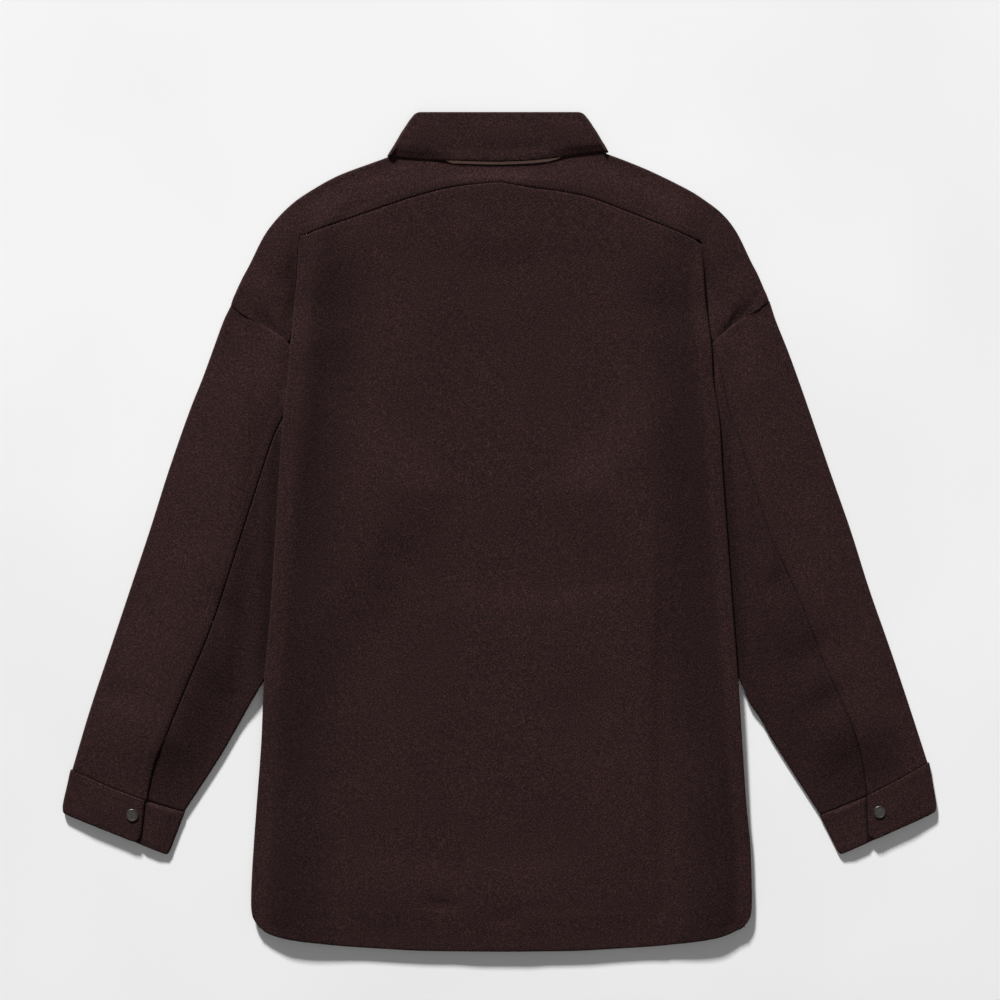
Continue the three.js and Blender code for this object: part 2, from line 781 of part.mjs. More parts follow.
function addFront(side) {
  const name = sideName(side);
  const edge = frontEdge(side);
  const inset = offsetCurve(edge, 1, -INNER_RADIUS);
  const middle = -OVERLAP;
  const wrapEnd = yokeWrapEnd(side).filter(([out]) => out < inset(0)[0] - 4);
  const neckline = steps(middle, wrapEnd[0][0] - 2, 5).map((out) => [out, frontNeckline(out) + SEAM_GAP]);
  const near = planCurve([...neckline, ...wrapEnd, inset(0)]);
  const far = (w) => {
    const out = mix(middle, inset(1)[0], w);
    const hem = hemDown(Math.abs(out)) - 3;
    return [out, mix(hem, inset(1)[1], smooth(w, 0.9, 1))];
  };
  const start = (t) => [middle, mix(near(0)[1], far(0)[1], t)];
  const flat = patch(start, inset, near, far);
  const under = (out, down) => {
    const overLeft = side > 0 ? PLY * smooth(out, OVERLAP_RISE, OVERLAP + 10) : 0;
    return frontUnder(out, down) + overLeft;
  };
  const surface = (u, t) => {
    if (u < 1) {
      const [out, down] = flat(u, t);
      return toWorld(side * out, down, under(out, down));
    }
    const fold = edge(t);
    const normal = curveNormal(edge, t, 1);
    const place = inset(t);
    const bottom = under(place[0], place[1]);
    if (u <= 2) {
      const angle = (u - 1) * Math.PI;
      const [out, down, z] = foldPoint(fold, normal, INNER_RADIUS, bottom, bottom + TIGHT_FOLD, angle);
      return toWorld(side * out, down, z);
    }
    const depth = Math.max(tuckDepth(fold[1]) - FRONT_INSET, INNER_RADIUS + 2);
    const inner = shifted(fold, normal, -mix(INNER_RADIUS, depth, u - 2));
    return toWorld(side * inner[0], inner[1], bottom + TIGHT_FOLD);
  };
  const us = joined(steps(0, 1, 12), steps(1, 2, 4), steps(2, 3, 3));
  const vs = joined(steps(0, 0.12, 5), steps(0.12, 0.5, 6), steps(0.5, 1, 6));
  let solid = toSolid(wallGeometry(surface, us, vs, CLOTH, [3, 0.5]));
  if (side < 0) {
    for (let i = 0; i < FRONT_SNAPS; i += 1) {
      const down = FRONT_SNAP_FIRST + i * FRONT_SNAP_PITCH;
      solid = solid.subtract(toSolid(disc(0, down, SNAP_RADIUS + SNAP_GAP, -1, CLOTH + AIR / 2)));
    }
  }
  addPiece(`front_${name}`, fromSolid(solid), 'wool');
}

function disc(x, down, radius, bottom, top) {
  const outline = steps(0, 2 * Math.PI, SNAP_SIDES)
    .slice(1)
    .map((angle) => [x + radius * Math.cos(angle), down + radius * Math.sin(angle)]);
  return prism(outline, bottom, top);
}

function addFrontSnaps() {
  for (let i = 0; i < FRONT_SNAPS; i += 1) {
    const down = FRONT_SNAP_FIRST + i * FRONT_SNAP_PITCH;
    addPiece(`front_snap_${i + 1}`, disc(0, down, SNAP_RADIUS, 0, CLOTH - 0.1), 'gunmetal');
  }
}

// Sleeves: the outer part and the part by the underarm, joined at the back seam

function sleeveCurves(side) {
  const name = sideName(side);
  const outer = tableCurve(OUTER_FOLD[name]);
  const inner = tableCurve(INNER_FOLD[name]);
  const outerInset = offsetCurve(outer, 1, -OUTER_RADIUS);
  const innerInset = offsetCurve(inner, -1, -INNER_RADIUS);
  const seam = tableCurve(BACK_SEAM[name]);
  const armRows = ARMHOLE[name].map((row) => [row.out, row.down]);
  const seamRow = armRows.findIndex((row) => row[0] === seam(0)[0]);
  const toShoulder = planCurve([...armRows.slice(1, seamRow + 1).reverse(), outerInset(0)]);
  const toUnderarm = planCurve([...armRows.slice(seamRow, -1), innerInset(0)]);
  const wholeArmhole = planCurve([innerInset(0), ...armRows.slice(1, -1).reverse(), outerInset(0)]);
  return { outer, inner, outerInset, innerInset, seam, toShoulder, toUnderarm, wholeArmhole };
}

const cuffBow = (share) => 4 * CUFF_BOW * share * (1 - share);

// End of the sleeve along the top edge of the cuff.
function sleeveEnd(side, from, to) {
  const cuff = CUFFS[sideName(side)];
  const cuffEdge = (out) => {
    const share = (out - cuff.sleeveInner[0]) / (cuff.sleeveOuter[0] - cuff.sleeveInner[0]);
    return mix(cuff.sleeveInner[1], cuff.sleeveOuter[1], share) + cuffBow(share) - 2 * SEAM_GAP;
  };
  return (w) => {
    const out = mix(from[0], to[0], w);
    const fit = mix(from[1] - cuffEdge(from[0]), to[1] - cuffEdge(to[0]), w);
    return [out, cuffEdge(out) + fit];
  };
}

function addSleeve(side) {
  const name = sideName(side);
  const curves = sleeveCurves(side);
  const below = patch(
    curves.innerInset,
    curves.outerInset,
    curves.wholeArmhole,
    sleeveEnd(side, curves.innerInset(1), curves.outerInset(1)),
  );
  const shoulderLoft = (t) => 1 - smooth(t, 0, 0.12);
  const slitRows = (t) => smooth(t, 0.8, 0.86);
  const lapRows = (t) => smooth(t, 0.87, 0.91);
  const cuffLoft = (t) => smooth(t, 0.85, 1);
  const topAt = (out, down, t) => sleeveTop(side, out, down, shoulderLoft(t)) + 0.9 * cuffLoft(t);

  // Outer part: from the back seam over the outer fold and in to the front seam.
  const seamUpper = offsetCurve(curves.seam, -1, -SEAM_GAP / 2);
  const upperFlat = patch(
    seamUpper,
    curves.outerInset,
    planCurve([seamUpper(0), ...samplePlan(curves.toShoulder, 4), curves.outerInset(0)]),
    sleeveEnd(side, seamUpper(1), curves.outerInset(1)),
  );
  const upper = (u, t) => {
    const inset = curves.outerInset(t);
    const top = topAt(inset[0], inset[1], t);
    const bottom = sleeveUnder(side, inset[0], inset[1]);
    if (u < 1) {
      const [out, down] = upperFlat(u, t);
      const slit = SLIT_RISE * slitRows(t) * (1 - smooth(u, 0.1, 0.5));
      return toWorld(side * out, down, topAt(out, down, t) + slit);
    }
    if (u <= 2) {
      const normal = curveNormal(curves.outer, t, 1);
      const point = foldPoint(curves.outer(t), normal, OUTER_RADIUS, top, bottom, (u - 1) * Math.PI);
      return toWorld(side * point[0], point[1], point[2]);
    }
    const share = mix(1, FRONT_SEAM_SHARE + 0.001, u - 2);
    const [out, down] = below(share, t);
    return toWorld(side * out, down, sleeveUnder(side, out, down));
  };

  // Part by the underarm: from the back seam over the inner fold and out to the front seam.
  const seamUnder = (t) => {
    const beside = shifted(curves.seam(t), curveNormal(curves.seam, t, -1), SEAM_GAP / 2);
    return shifted(beside, CUFF_LEAN, SLIT_LAP * lapRows(t));
  };
  const underFlat = patch(
    seamUnder,
    curves.innerInset,
    planCurve([seamUnder(0), ...samplePlan(curves.toUnderarm, 4), curves.innerInset(0)]),
    sleeveEnd(side, seamUnder(1), curves.innerInset(1)),
  );
  const under = (u, t) => {
    const inset = curves.innerInset(t);
    const top = topAt(inset[0], inset[1], t);
    const bottom = sleeveUnder(side, inset[0], inset[1]);
    if (u < 1) {
      const [out, down] = underFlat(u, t);
      const slit = (PLY - SLIT_RISE) * slitRows(t) * (1 - smooth(u, 0.25, 0.7));
      return toWorld(side * out, down, topAt(out, down, t) - slit);
    }
    if (u <= 2) {
      const normal = curveNormal(curves.inner, t, -1);
      const point = foldPoint(curves.inner(t), normal, INNER_RADIUS, top, bottom, (u - 1) * Math.PI);
      return toWorld(side * point[0], point[1], point[2]);
    }
    const share = mix(0, FRONT_SEAM_SHARE - 0.001, u - 2);
    const [out, down] = below(share, t);
    return toWorld(side * out, down, sleeveUnder(side, out, down));
  };

  const us = joined(steps(0, 1, 5), steps(1, 2, 4), steps(2, 3, 4));
  const vs = joined(steps(0, 0.16, 4), steps(0.16, 0.78, 8), steps(0.78, 1, 6));
  addPiece(`sleeve_upper_${name}`, wallGeometry(upper, us, vs, CLOTH, [0, 0.5]), 'wool');
  addPiece(`sleeve_under_${name}`, wallGeometry(under, us, vs, CLOTH, [0, 0.5]), 'wool');
}

const samplePlan = (curve, count) => steps(0, 1, count + 1).slice(1, -1).map((w) => curve(w));

// Cuffs: one band from the tab over the outer fold, under the wrist and in below the tab

function addCuff(side) {
  const name = sideName(side);
  const cuff = CUFFS[name];
  const inner = planCurve([cuff.sleeveInner, blend(cuff.sleeveInner, cuff.hemInner, 0.5), cuff.hemInner]);
  const outer = planCurve([cuff.sleeveOuter, blend(cuff.sleeveOuter, cuff.hemOuter, 0.5), cuff.hemOuter]);
  const outerInset = offsetCurve(outer, 1, -CUFF_RADIUS);
  const innerInset = offsetCurve(inner, -1, -CUFF_RADIUS);
  const place = (share, t) => {
    const straight = blend(innerInset(t), outerInset(t), share);
    return shifted(straight, [0, 1], cuffBow(share) * (1 - t));
  };
  const lapLevel = 2 * CUFF_CLOTH + AIR;
  const tabEnd = cuff.tabShare;
  const lapEnd = cuff.tabShare + CUFF_LAP_SHARE;
  const topLevel = (share) => mix(CUFF_TOP, CUFF_EDGE_TOP, smooth(share, 0.7, 1));
  const surface = (u, t) => {
    if (u < 1) {
      const share = mix(tabEnd, 1, u);
      const [out, down] = place(share, t);
      return toWorld(side * out, down, topLevel(share));
    }
    if (u <= 2) {
      const normal = curveNormal(outer, t, 1);
      const [out, down, z] = foldPoint(outer(t), normal, CUFF_RADIUS, CUFF_EDGE_TOP, 0, (u - 1) * Math.PI);
      return toWorld(side * out, down, z);
    }
    if (u < 3) {
      const [out, down] = place(1 - (u - 2), t);
      return toWorld(side * out, down, 0);
    }
    if (u <= 4) {
      const normal = curveNormal(inner, t, -1);
      const [out, down, z] = foldPoint(inner(t), normal, CUFF_RADIUS, 0, lapLevel, (u - 3) * Math.PI);
      return toWorld(side * out, down, z);
    }
    const [out, down] = place(mix(0, lapEnd, u - 4), t);
    return toWorld(side * out, down, lapLevel);
  };
  const us = joined(steps(0, 1, 4), steps(1, 2, 4), steps(2, 3, 4), steps(3, 4, 4), steps(4, 5, 3));
  const rows = [0.012, 0.14, 0.5, 0.86, 1];
  addPiece(`cuff_${name}`, wallGeometry(surface, us, rows, CUFF_CLOTH, [0, 0.5]), 'wool');
}

function addCuffSnap(side) {
  const name = sideName(side);
  const [out, down] = CUFFS[name].snap;
  const profile = [
    [0, 0],
    [SNAP_RADIUS - 0.4, 0],
    [SNAP_RADIUS, 0.4],
    [SNAP_RADIUS, 0.9],
    [SNAP_RADIUS - 0.5, 1.35],
    [SNAP_RADIUS - 1.4, 1.4],
    [SNAP_RADIUS - 1.8, 1.15],
    [0, 1.35],
  ].map(([radius, height]) => new THREE.Vector2(radius, height));
  const lathe = new THREE.LatheGeometry(profile, SNAP_SIDES);
  lathe.rotateX(Math.PI / 2);
  const centre = toWorld(side * out, down, CUFF_TOP + SNAP_GAP);
  lathe.translate(centre.x, centre.y, centre.z);
  addPiece(`cuff_snap_${name}`, weldRound(lathe), 'gunmetal');
}

// Welds a turned geometry and leaves out the flat slivers at its poles.
function weldRound(geometry) {
  const welded = weld(geometry.toNonIndexed());
  const index = Array.from(welded.index.array);
  const kept = [];
  for (let i = 0; i < index.length; i += 3) {
    const [a, b, c] = index.slice(i, i + 3);
    if (a !== b && b !== c && a !== c) {
      kept.push(a, b, c);
    }
  }
  welded.setIndex(kept);
  return welded;
}

// Collar: outer cloth, under collar and stand

const collarSide = tableFunction(COLLAR_SIDE, 'down', 'out');
const fallEdge = tableFunction(FALL_EDGE, 'across', 'down');

// Drop of the collar's top fold from its side fold, at 0, to the middle of the front, at 1.
function frontDrop(share) {
  return NECK_DROP * (1 - (1 - share) ** 2);
}

function addCollarUpper() {
  const radius = COLLAR_HEIGHT / 2;
  const surface = (u, v) => {
    const side = u < 0 ? -1 : 1;
    const s = Math.abs(u);
    const roll = clamp(1 - v, 0, 1);
    const capped = clamp(-v, 0, 1);
    const angle = roll * (Math.PI / 2);
    const sunk = COLLAR_ROLL * (1 - Math.cos(angle)) + capped * (COLLAR_CAP - COLLAR_ROLL);
    const lead = COLLAR_ROLL * (1 - Math.sin(angle));
    const rows = clamp(v - 1, 0, 1);
    const around = clamp(s - 1, 0, 1);
    const frontShare = clamp(s - 2, 0, 1);
    const backShare = clamp(s, 0, 1);
    const endOut = mix(LEAF_START, LEAF_POINT.out, rows);
    const sideDown = fallEdge(side * 111);
    const fullTop = collarSide(COLLAR_ROLL) - radius;
    const fullLow = collarSide(COLLAR_SIDE_END) - radius;
    const backLow = fallEdge(side * backShare * fullLow);
    const low = s < 1 ? backLow : mix(sideDown, LEAF_POINT.down, frontShare);
    const drop = frontDrop(frontShare * (1 - LEAF_START / fullTop));
    const down = mix(drop + lead, low, rows);
    const full = fullTop + collarSide(mix(lead, sideDown, rows)) - collarSide(COLLAR_ROLL);
    const flat = s < 1 ? full * backShare : mix(full, endOut, frontShare);
    const half = radius - sunk;
    const out = flat + half * Math.sin(around * Math.PI);
    return toWorld(side * out, down, radius + half * Math.cos(around * Math.PI));
  };
  const half = joined(steps(0, 1, 8), steps(1, 2, 5), steps(2, 3, 4));
  const us = joined(half.map((s) => -s).reverse(), half);
  const vs = joined([-1, 0], steps(0, 1, 3), steps(1, 2, 4));
  addPiece('collar_upper', wallGeometry(surface, us, vs, CLOTH, [0, 2]), 'wool');
}

function addCollarUnder() {
  const level = COLLAR_HEIGHT - PLY;
  const surface = (u, v) => {
    const edgeAt = u * (collarSide(COLLAR_SIDE_END) - UNDER_INSET);
    const shown = smooth(edgeAt, -64, -34) * smooth(edgeAt, 99, 66);
    const down = mix(STAND_TOP, fallEdge(edgeAt) + mix(-1.2, UNDER_PEEK, shown), v);
    return toWorld(u * (collarSide(down) - UNDER_INSET), down, level);
  };
  const wall = wallGeometry(surface, steps(-1, 1, 18), steps(0, 1, 3), CLOTH, [0, 0]);
  addPiece('collar_under', wall, 'underCollar');
}

function addCollarStand() {
  const top = COLLAR_HEIGHT - 2 * PLY;
  const bottom = top - TIGHT_FOLD;
  const gap = 0.4;
  const surface = (u, v) => {
    const side = u < 0 ? -1 : 1;
    const s = Math.abs(u);
    const level = STAND_TOP + v * STAND_HEIGHT;
    const half = collarSide(level) - STAND_INSET - INNER_RADIUS;
    if (s <= 1) {
      return toWorld(side * s * half, level, top);
    }
    if (s <= 2) {
      const [out, down, z] = foldPoint(
        [half + INNER_RADIUS, level], [1, 0], INNER_RADIUS, top, bottom, (s - 1) * Math.PI,
      );
      return toWorld(side * out, down, z);
    }
    const drop = frontDrop(s - 2) + STAND_DROP * smooth(s, 2, 2.3);
    return toWorld(side * mix(half, gap, s - 2), level + drop, bottom);
  };
  const half = joined(steps(0, 1, 6), steps(1, 2, 4), steps(2, 3, 8));
  const us = joined(half.map((s) => -s).reverse(), half);
  addPiece('collar_stand', wallGeometry(surface, us, steps(0, 1, 3), CLOTH, [0, 0]), 'wool');
}

addBack();
addYoke();
addFront(-1);
addFront(1);
addFrontSnaps();
for (const side of [-1, 1]) {
  addSleeve(side);
  addCuff(side);
  addCuffSnap(side);
}
addCollarUpper();
addCollarUnder();
addCollarStand();

export default group;
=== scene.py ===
"""Shacket of brushed wool cloth, laid flat with its back up.

Every size is in millimetres until a mesh is made. A plan point is (out, down): out is the distance from
the middle of the back, and down is the distance from the top of the collar towards the hem.
"""

import logging
from collections.abc import Callable, Sequence
from dataclasses import dataclass, field
from enum import Enum

import bpy
import numpy as np
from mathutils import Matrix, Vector


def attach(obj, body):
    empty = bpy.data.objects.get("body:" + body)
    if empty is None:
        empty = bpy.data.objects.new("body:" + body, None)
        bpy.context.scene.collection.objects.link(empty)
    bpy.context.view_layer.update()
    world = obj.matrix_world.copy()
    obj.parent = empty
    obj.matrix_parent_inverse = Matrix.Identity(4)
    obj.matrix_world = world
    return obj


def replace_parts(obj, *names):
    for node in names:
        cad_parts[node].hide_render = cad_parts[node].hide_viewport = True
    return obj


Array = np.ndarray
Curve = Callable[[Array], Array]
Patch = Callable[[Array, Array], Array]
log = logging.getLogger("shacket")

# Driving sizes of the garment
LENGTH = 840.0
CLOTH = 1.6
AIR = 0.4
PLY = CLOTH + AIR
SEAM_GAP = 0.3
TIGHT_FOLD = 3.6
CUFF_CLOTH = 2.0
EDGE_STITCH = 2.0
STEP = 1e-3
TO_METRES = 0.001

# Heights of the outer face of each cloth over the table
BACK_REST = 5.0
TUCK_LIFT = 2.6
SLEEVE_LIFT = 4.0
SLEEVE_LOFT = 0.9
SHOULDER_LOFT = 1.1
COLLAR_LEAF_LIFT = PLY
NECK_LIFT = 0.6
OVERLAP_RIDGE = 2.0
TUCK_EASE = 80.0
SLEEVE_EASE = 95.0
CUFF_TOP = 3 * CUFF_CLOTH + 2 * AIR
CUFF_EDGE_TOP = 5.6

# Folds, seams and openings
BODY_TOP = 128.0
BODY_BOTTOM = 810.0
FRONT_BOTTOM = 806.0
FRONT_INSET = 3.0
ARMHOLE_INSET = 4.0
KNEE_SHARE = 0.75
OVERLAP = 15.0
OVERLAP_RISE = 46.0
YOKE_WRAP = 30.0
SHOULDER_FOLD = 2.4
NECK_HALF = 104.0
NECK_DOWN = 38.0
NECK_DROP = 45.0
NECK_SLACK = 2.5
OUTER_RADIUS = 2.3
INNER_RADIUS = 1.8
FRONT_SEAM_SHARE = 0.45
SLIT_LAP = 8.0
SLIT_RISE = 0.9
SLIT_STEP = 1.3
UNDERARM_DOWN = 378.0
SLEEVE_LEAN = 0.609

# Outline of the body and the depth to which its sides turn in
BODY_EDGE = {
    "down": (128, 162, 191, 233, 268, 306, 353, 410, 503, 568, 631, 696, 730, 766, 793, 804, 810, 815),
    "left": (
        201, 202.5, 205, 209, 211.5, 216, 219.5, 223, 229, 235, 238, 243, 245.5, 247.7, 248.4, 247.2, 244.4, 240.4,
    ),
    "right": (
        203.5, 205, 207, 212, 214, 220, 223, 227, 234, 239, 243, 247.5, 251, 252.5, 252.8, 251.6, 248.8, 244.8,
    ),
}
TUCK = {
    "down": (128, 190, 234, 264, 303, 343, 378, 410, 460, 503, 540, 600, 810),
    "depth": (5, 5.5, 7, 16, 41, 73, 101, 95, 68, 48, 38, 34, 28),
}
HEM = {
    "out": (0, 75, 110, 152, 180, 201, 222, 237, 247),
    "down": (840, 839.3, 837.5, 834.8, 832, 829.4, 825.2, 819, 810),
}

# Yoke: its seam and its shoulder fold, at even sections from the middle out
YOKE_LEFT = {
    "seam_out": (0, 46, 83, 112, 142, 180, 192, 200.5, 203, 206, 211, 222.6, 243.6, 261),
    "seam_down": (69.8, 75, 84, 93.5, 103.6, 117, 122, 127.6, 160, 200, 229.6, 222.8, 210, 199.7),
    "fold_out": (0, 40, 72, 96, 115, 160, 190, 207, 222, 236, 250, 257, 264, 268.8),
    "fold_down": (34, 34.5, 35.3, 38.4, 46, 62.5, 79, 91, 105.5, 124, 152, 165, 180, 193),
}
YOKE_RIGHT = {
    "seam_out": (0, 34, 59, 92, 128, 163, 193, 203, 205, 208, 214, 232, 250, 263),
    "seam_down": (69.8, 76, 79, 86, 99.2, 113.2, 126, 132.4, 160, 196, 229, 215.3, 202.9, 195.1),
    "fold_out": (0, 34, 60, 92, 112, 148, 187, 207, 224, 238, 252, 259, 265, 270.3),
    "fold_down": (34, 34.5, 35, 37, 43, 57, 76, 88.5, 102, 120, 148.5, 162, 176, 189),
}

# Sleeves: the armhole seam, the two folds and the back seam of each
ARMHOLE_LEFT = {
    "out": (267, 244, 223, 211, 197, 175, 146, 119),
    "down": (197.6, 211, 223.8, 234, 264, 303, 343, 378),
}
ARMHOLE_RIGHT = {
    "out": (268, 250.5, 232.5, 214, 199, 177, 148, 121),
    "down": (193.4, 203.8, 216.3, 233, 264, 303, 343, 378),
}
OUTER_FOLD_LEFT = {
    "out": (270, 276, 287, 298, 310, 331, 350, 370, 390, 410, 427.8),
    "down": (195.5, 208, 238, 268, 298, 358, 418, 478, 538, 598, 658.2),
}
OUTER_FOLD_RIGHT = {
    "out": (271.5, 277, 289, 300, 310.5, 331, 352, 371, 392, 412, 429.2),
    "down": (191, 208, 238, 268, 298, 358, 418, 478, 538, 598, 651.4),
}
INNER_FOLD_LEFT = {
    "out": (119, 177, 234.8, 248, 266, 280.6, 315.3),
    "down": (378, 473, 568, 590, 622, 647, 700),
}
INNER_FOLD_RIGHT = {
    "out": (121, 181, 239.8, 250, 262, 272.4, 321.2),
    "down": (378, 473, 567, 590, 608, 627, 703),
}
BACK_SEAM_LEFT = {
    "out": (197, 217, 226, 240, 278.6, 292, 308, 322, 335, 344, 349, 353),
    "down": (264, 306, 325, 367, 488, 526, 563.5, 597, 629, 650, 668, 688.6),
}
BACK_SEAM_RIGHT = {
    "out": (214, 222.8, 232.8, 240, 253.8, 271.8, 300.8, 325.3, 341, 356, 365, 369),
    "down": (233, 264, 310, 328, 371, 426, 490, 553, 588, 622, 655, 683),
}

# Collar: its side folds and the free edge of the fall
COLLAR_SIDE = {
    "down": (0, 2, 8, 14, 20, 26, 32, 38, 44),
    "out": (82.5, 85, 90, 94, 98, 101.5, 105, 108.5, 112.4),
}
FALL_EDGE = {
    "across": (-111, -88, -71, -42, -4, 34, 65, 85, 101, 111),
    "down": (43.8, 46.8, 48.2, 49, 50, 48.6, 45, 42, 40.2, 39.6),
}


def mix(start: Array | float, end: Array | float, share: Array | float) -> Array | float:
    """Straight blend from start, at share 0, to end, at share 1."""
    return start + (end - start) * share


def smooth(value: Array | float, start: float | Array, end: float | Array) -> Array:
    """Soft step 3s^2 - 2s^3 from 0 at start to 1 at end, in either order."""
    share = np.clip((value - start) / (end - start), 0.0, 1.0)
    return share * share * (3.0 - 2.0 * share)


def through(knots: Sequence[float], values: Sequence[float], at: Array | float) -> Array:
    """Smooth curve through pairs of a knot and a value, held level beyond its ends.

    Between two knots it is the cubic whose slope at each knot is that of its two neighbours.

    Args:
        knots: places along the curve, rising.
        values: the value at each knot.
        at: the places that are asked for.

    Returns:
        The values there.
    """
    places = np.asarray(knots, float)
    heights = np.asarray(values, float)
    last = len(places) - 1
    near = np.maximum(np.arange(last + 1) - 1, 0)
    far = np.minimum(np.arange(last + 1) + 1, last)
    slopes = (heights[far] - heights[near]) / (places[far] - places[near])
    spot = np.clip(at, places[0], places[-1])
    index = np.clip(np.searchsorted(places, spot) - 1, 0, last - 1)
    width = places[index + 1] - places[index]
    s = (spot - places[index]) / width
    rise = mix(heights[index], heights[index + 1], s * s * (3 - 2 * s))
    lean = (s**3 - 2 * s**2 + s) * slopes[index] + (s**3 - s**2) * slopes[index + 1]
    return rise + lean * width


def plan_curve(points: Sequence[Sequence[float]]) -> Curve:
    """Smooth plan curve from 0 to 1 through points, with its parameter shared out by their distances.

    Args:
        points: plan points (out, down).

    Returns:
        A function from shares to plan points.
    """
    spots = np.asarray(points, float)
    reach = np.concatenate([[0.0], np.cumsum(np.linalg.norm(np.diff(spots, axis=0), axis=1))])
    shares = reach / reach[-1]
    return lambda t: np.stack([through(shares, spots[:, 0], t), through(shares, spots[:, 1], t)], axis=-1)


def table_curve(table: dict[str, Sequence[float]]) -> Curve:
    """Plan curve through a table with the columns out and down."""
    return plan_curve(table_points(table))


def table_points(table: dict[str, Sequence[float]]) -> Array:
    """Rows (out, down) of a table."""
    return np.column_stack([table["out"], table["down"]])


def curve_normal(curve: Curve, t: Array, turn: int) -> Array:
    """Unit normal of a plan curve, to the side that turn gives, from its points just before and after."""
    along = curve(np.minimum(t + STEP, 1.0)) - curve(np.maximum(t - STEP, 0.0))
    size = np.linalg.norm(along, axis=-1, keepdims=True)
    return turn * np.stack([along[..., 1], -along[..., 0]], axis=-1) / size


def offset_curve(curve: Curve, turn: int, by: float) -> Curve:
    """The curve moved by a distance along its normal."""
    return lambda t: curve(t) + by * curve_normal(curve, t, turn)


def coons(start: Curve, end: Curve, near: Curve, far: Curve) -> Patch:
    """Plan patch between four curves: the two straight blends between opposite sides, less that of the corners.

    Args:
        start: side at w = 0, as a function of t.
        end: side at w = 1.
        near: side at t = 0, as a function of w.
        far: side at t = 1.

    Returns:
        A function of a column of w and a row of t that gives plan points.
    """
    low, high = np.float64(0.0), np.float64(1.0)

    def patch(w: Array, t: Array) -> Array:
        """Plan points of the patch at every pair of w and t."""
        across = mix(start(t), end(t), w[..., None])
        along = mix(near(w), far(w), t[..., None])
        near_corner = mix(start(low), end(low), w[..., None])
        far_corner = mix(start(high), end(high), w[..., None])
        return across + along - mix(near_corner, far_corner, t[..., None])

    return patch


def fold_rows(edge: Array, normal: Array, radius: float, top: Array, bottom: Array, turn: Array) -> Array:
    """Half-round fold in section: cosine in height and sine in plan, from the top face to the bottom face.

    Args:
        edge: plan points of the fold's outermost line.
        normal: plan normals there, pointing out.
        radius: how far the half circle reaches in from that line.
        top: height at the start of the fold.
        bottom: height at its end.
        turn: share of the half turn, as a column.

    Returns:
        Points (out, down, height).
    """
    angle = turn * np.pi
    place = edge + normal * (radius * (np.sin(angle) - 1.0))[..., None]
    height = (top + bottom) / 2 + (top - bottom) / 2 * np.cos(angle)
    return lift(place, height)


def lift(place: Array, height: Array | float) -> Array:
    """Plan points with their heights: (out, down, height)."""
    shape = np.broadcast_shapes(place.shape[:-1], np.shape(height))
    spread = np.broadcast_to(place, (*shape, 2))
    return np.concatenate([spread, np.broadcast_to(height, shape)[..., None]], axis=-1)


def to_world(points: Array, sign: int = 1) -> Array:
    """Points (out, down, height) as (x, y, z) in the part's frame, on the side that sign gives."""
    return np.stack([sign * points[..., 0], LENGTH / 2 - points[..., 1], points[..., 2]], axis=-1)


def column(*runs: Array) -> Array:
    """Rows of a grid from several runs, without doubling the value that two runs share."""
    kept = [runs[0]] + [run[1:] for run in runs[1:]]
    return np.concatenate(kept)[:, None]


def graded(length: float, fine: float, coarse: float, band: float = 9.0, ends: tuple[bool, bool] = (True, True)) -> Array:
    """Shares from 0 to 1 along a length, finely spaced in a band at the ends where a seam needs it.

    Args:
        length: rough length in millimetres.
        fine: spacing in the bands.
        coarse: spacing elsewhere.
        band: width of a band.
        ends: whether the start and the end have one.

    Returns:
        The rising shares.
    """
    start = band if ends[0] else 0.0
    stop = length - band if ends[1] else length
    near = np.arange(0.0, start, fine)
    middle = np.linspace(start, stop, max(2, round((stop - start) / coarse) + 1))
    far = length - np.arange(0.0, length - stop, fine)[::-1]
    return np.concatenate([near, middle, far[far > stop]]) / length


class Side(Enum):
    """Half of the garment, as the photograph shows it."""

    LEFT = -1
    RIGHT = 1

    @property
    def word(self) -> str:
        """Name of the side in the nodes' names."""
        return self.name.lower()


class Edge(Enum):
    """One edge of a cloth's grid: (axis, whether it is the last row there)."""

    START = (0, False)
    END = (0, True)
    NEAR = (1, False)
    FAR = (1, True)


@dataclass(frozen=True)
class Seam:
    """How one edge of a cloth is finished.

    The face sinks by roll at the very edge, stands proud by ridge over the turned allowance, and has a
    groove where the topstitching draws it in.
    """

    roll: float = 0.5
    ridge: float = 0.35
    allowance: float = 8.5
    stitch: float = EDGE_STITCH
    groove: float = 0.12

    def height(self, reach: Array) -> Array:
        """Lift of the face by its distance from the edge: ridge, less the rolled edge and the stitched groove."""
        proud = self.ridge * (1.0 - smooth(reach, self.allowance, self.allowance + 3.5))
        sunk = self.roll * (1.0 - smooth(reach, 0.0, 1.6))
        drawn = self.groove * np.exp(-(((reach - self.stitch) / 0.9) ** 2))
        return proud - sunk - drawn


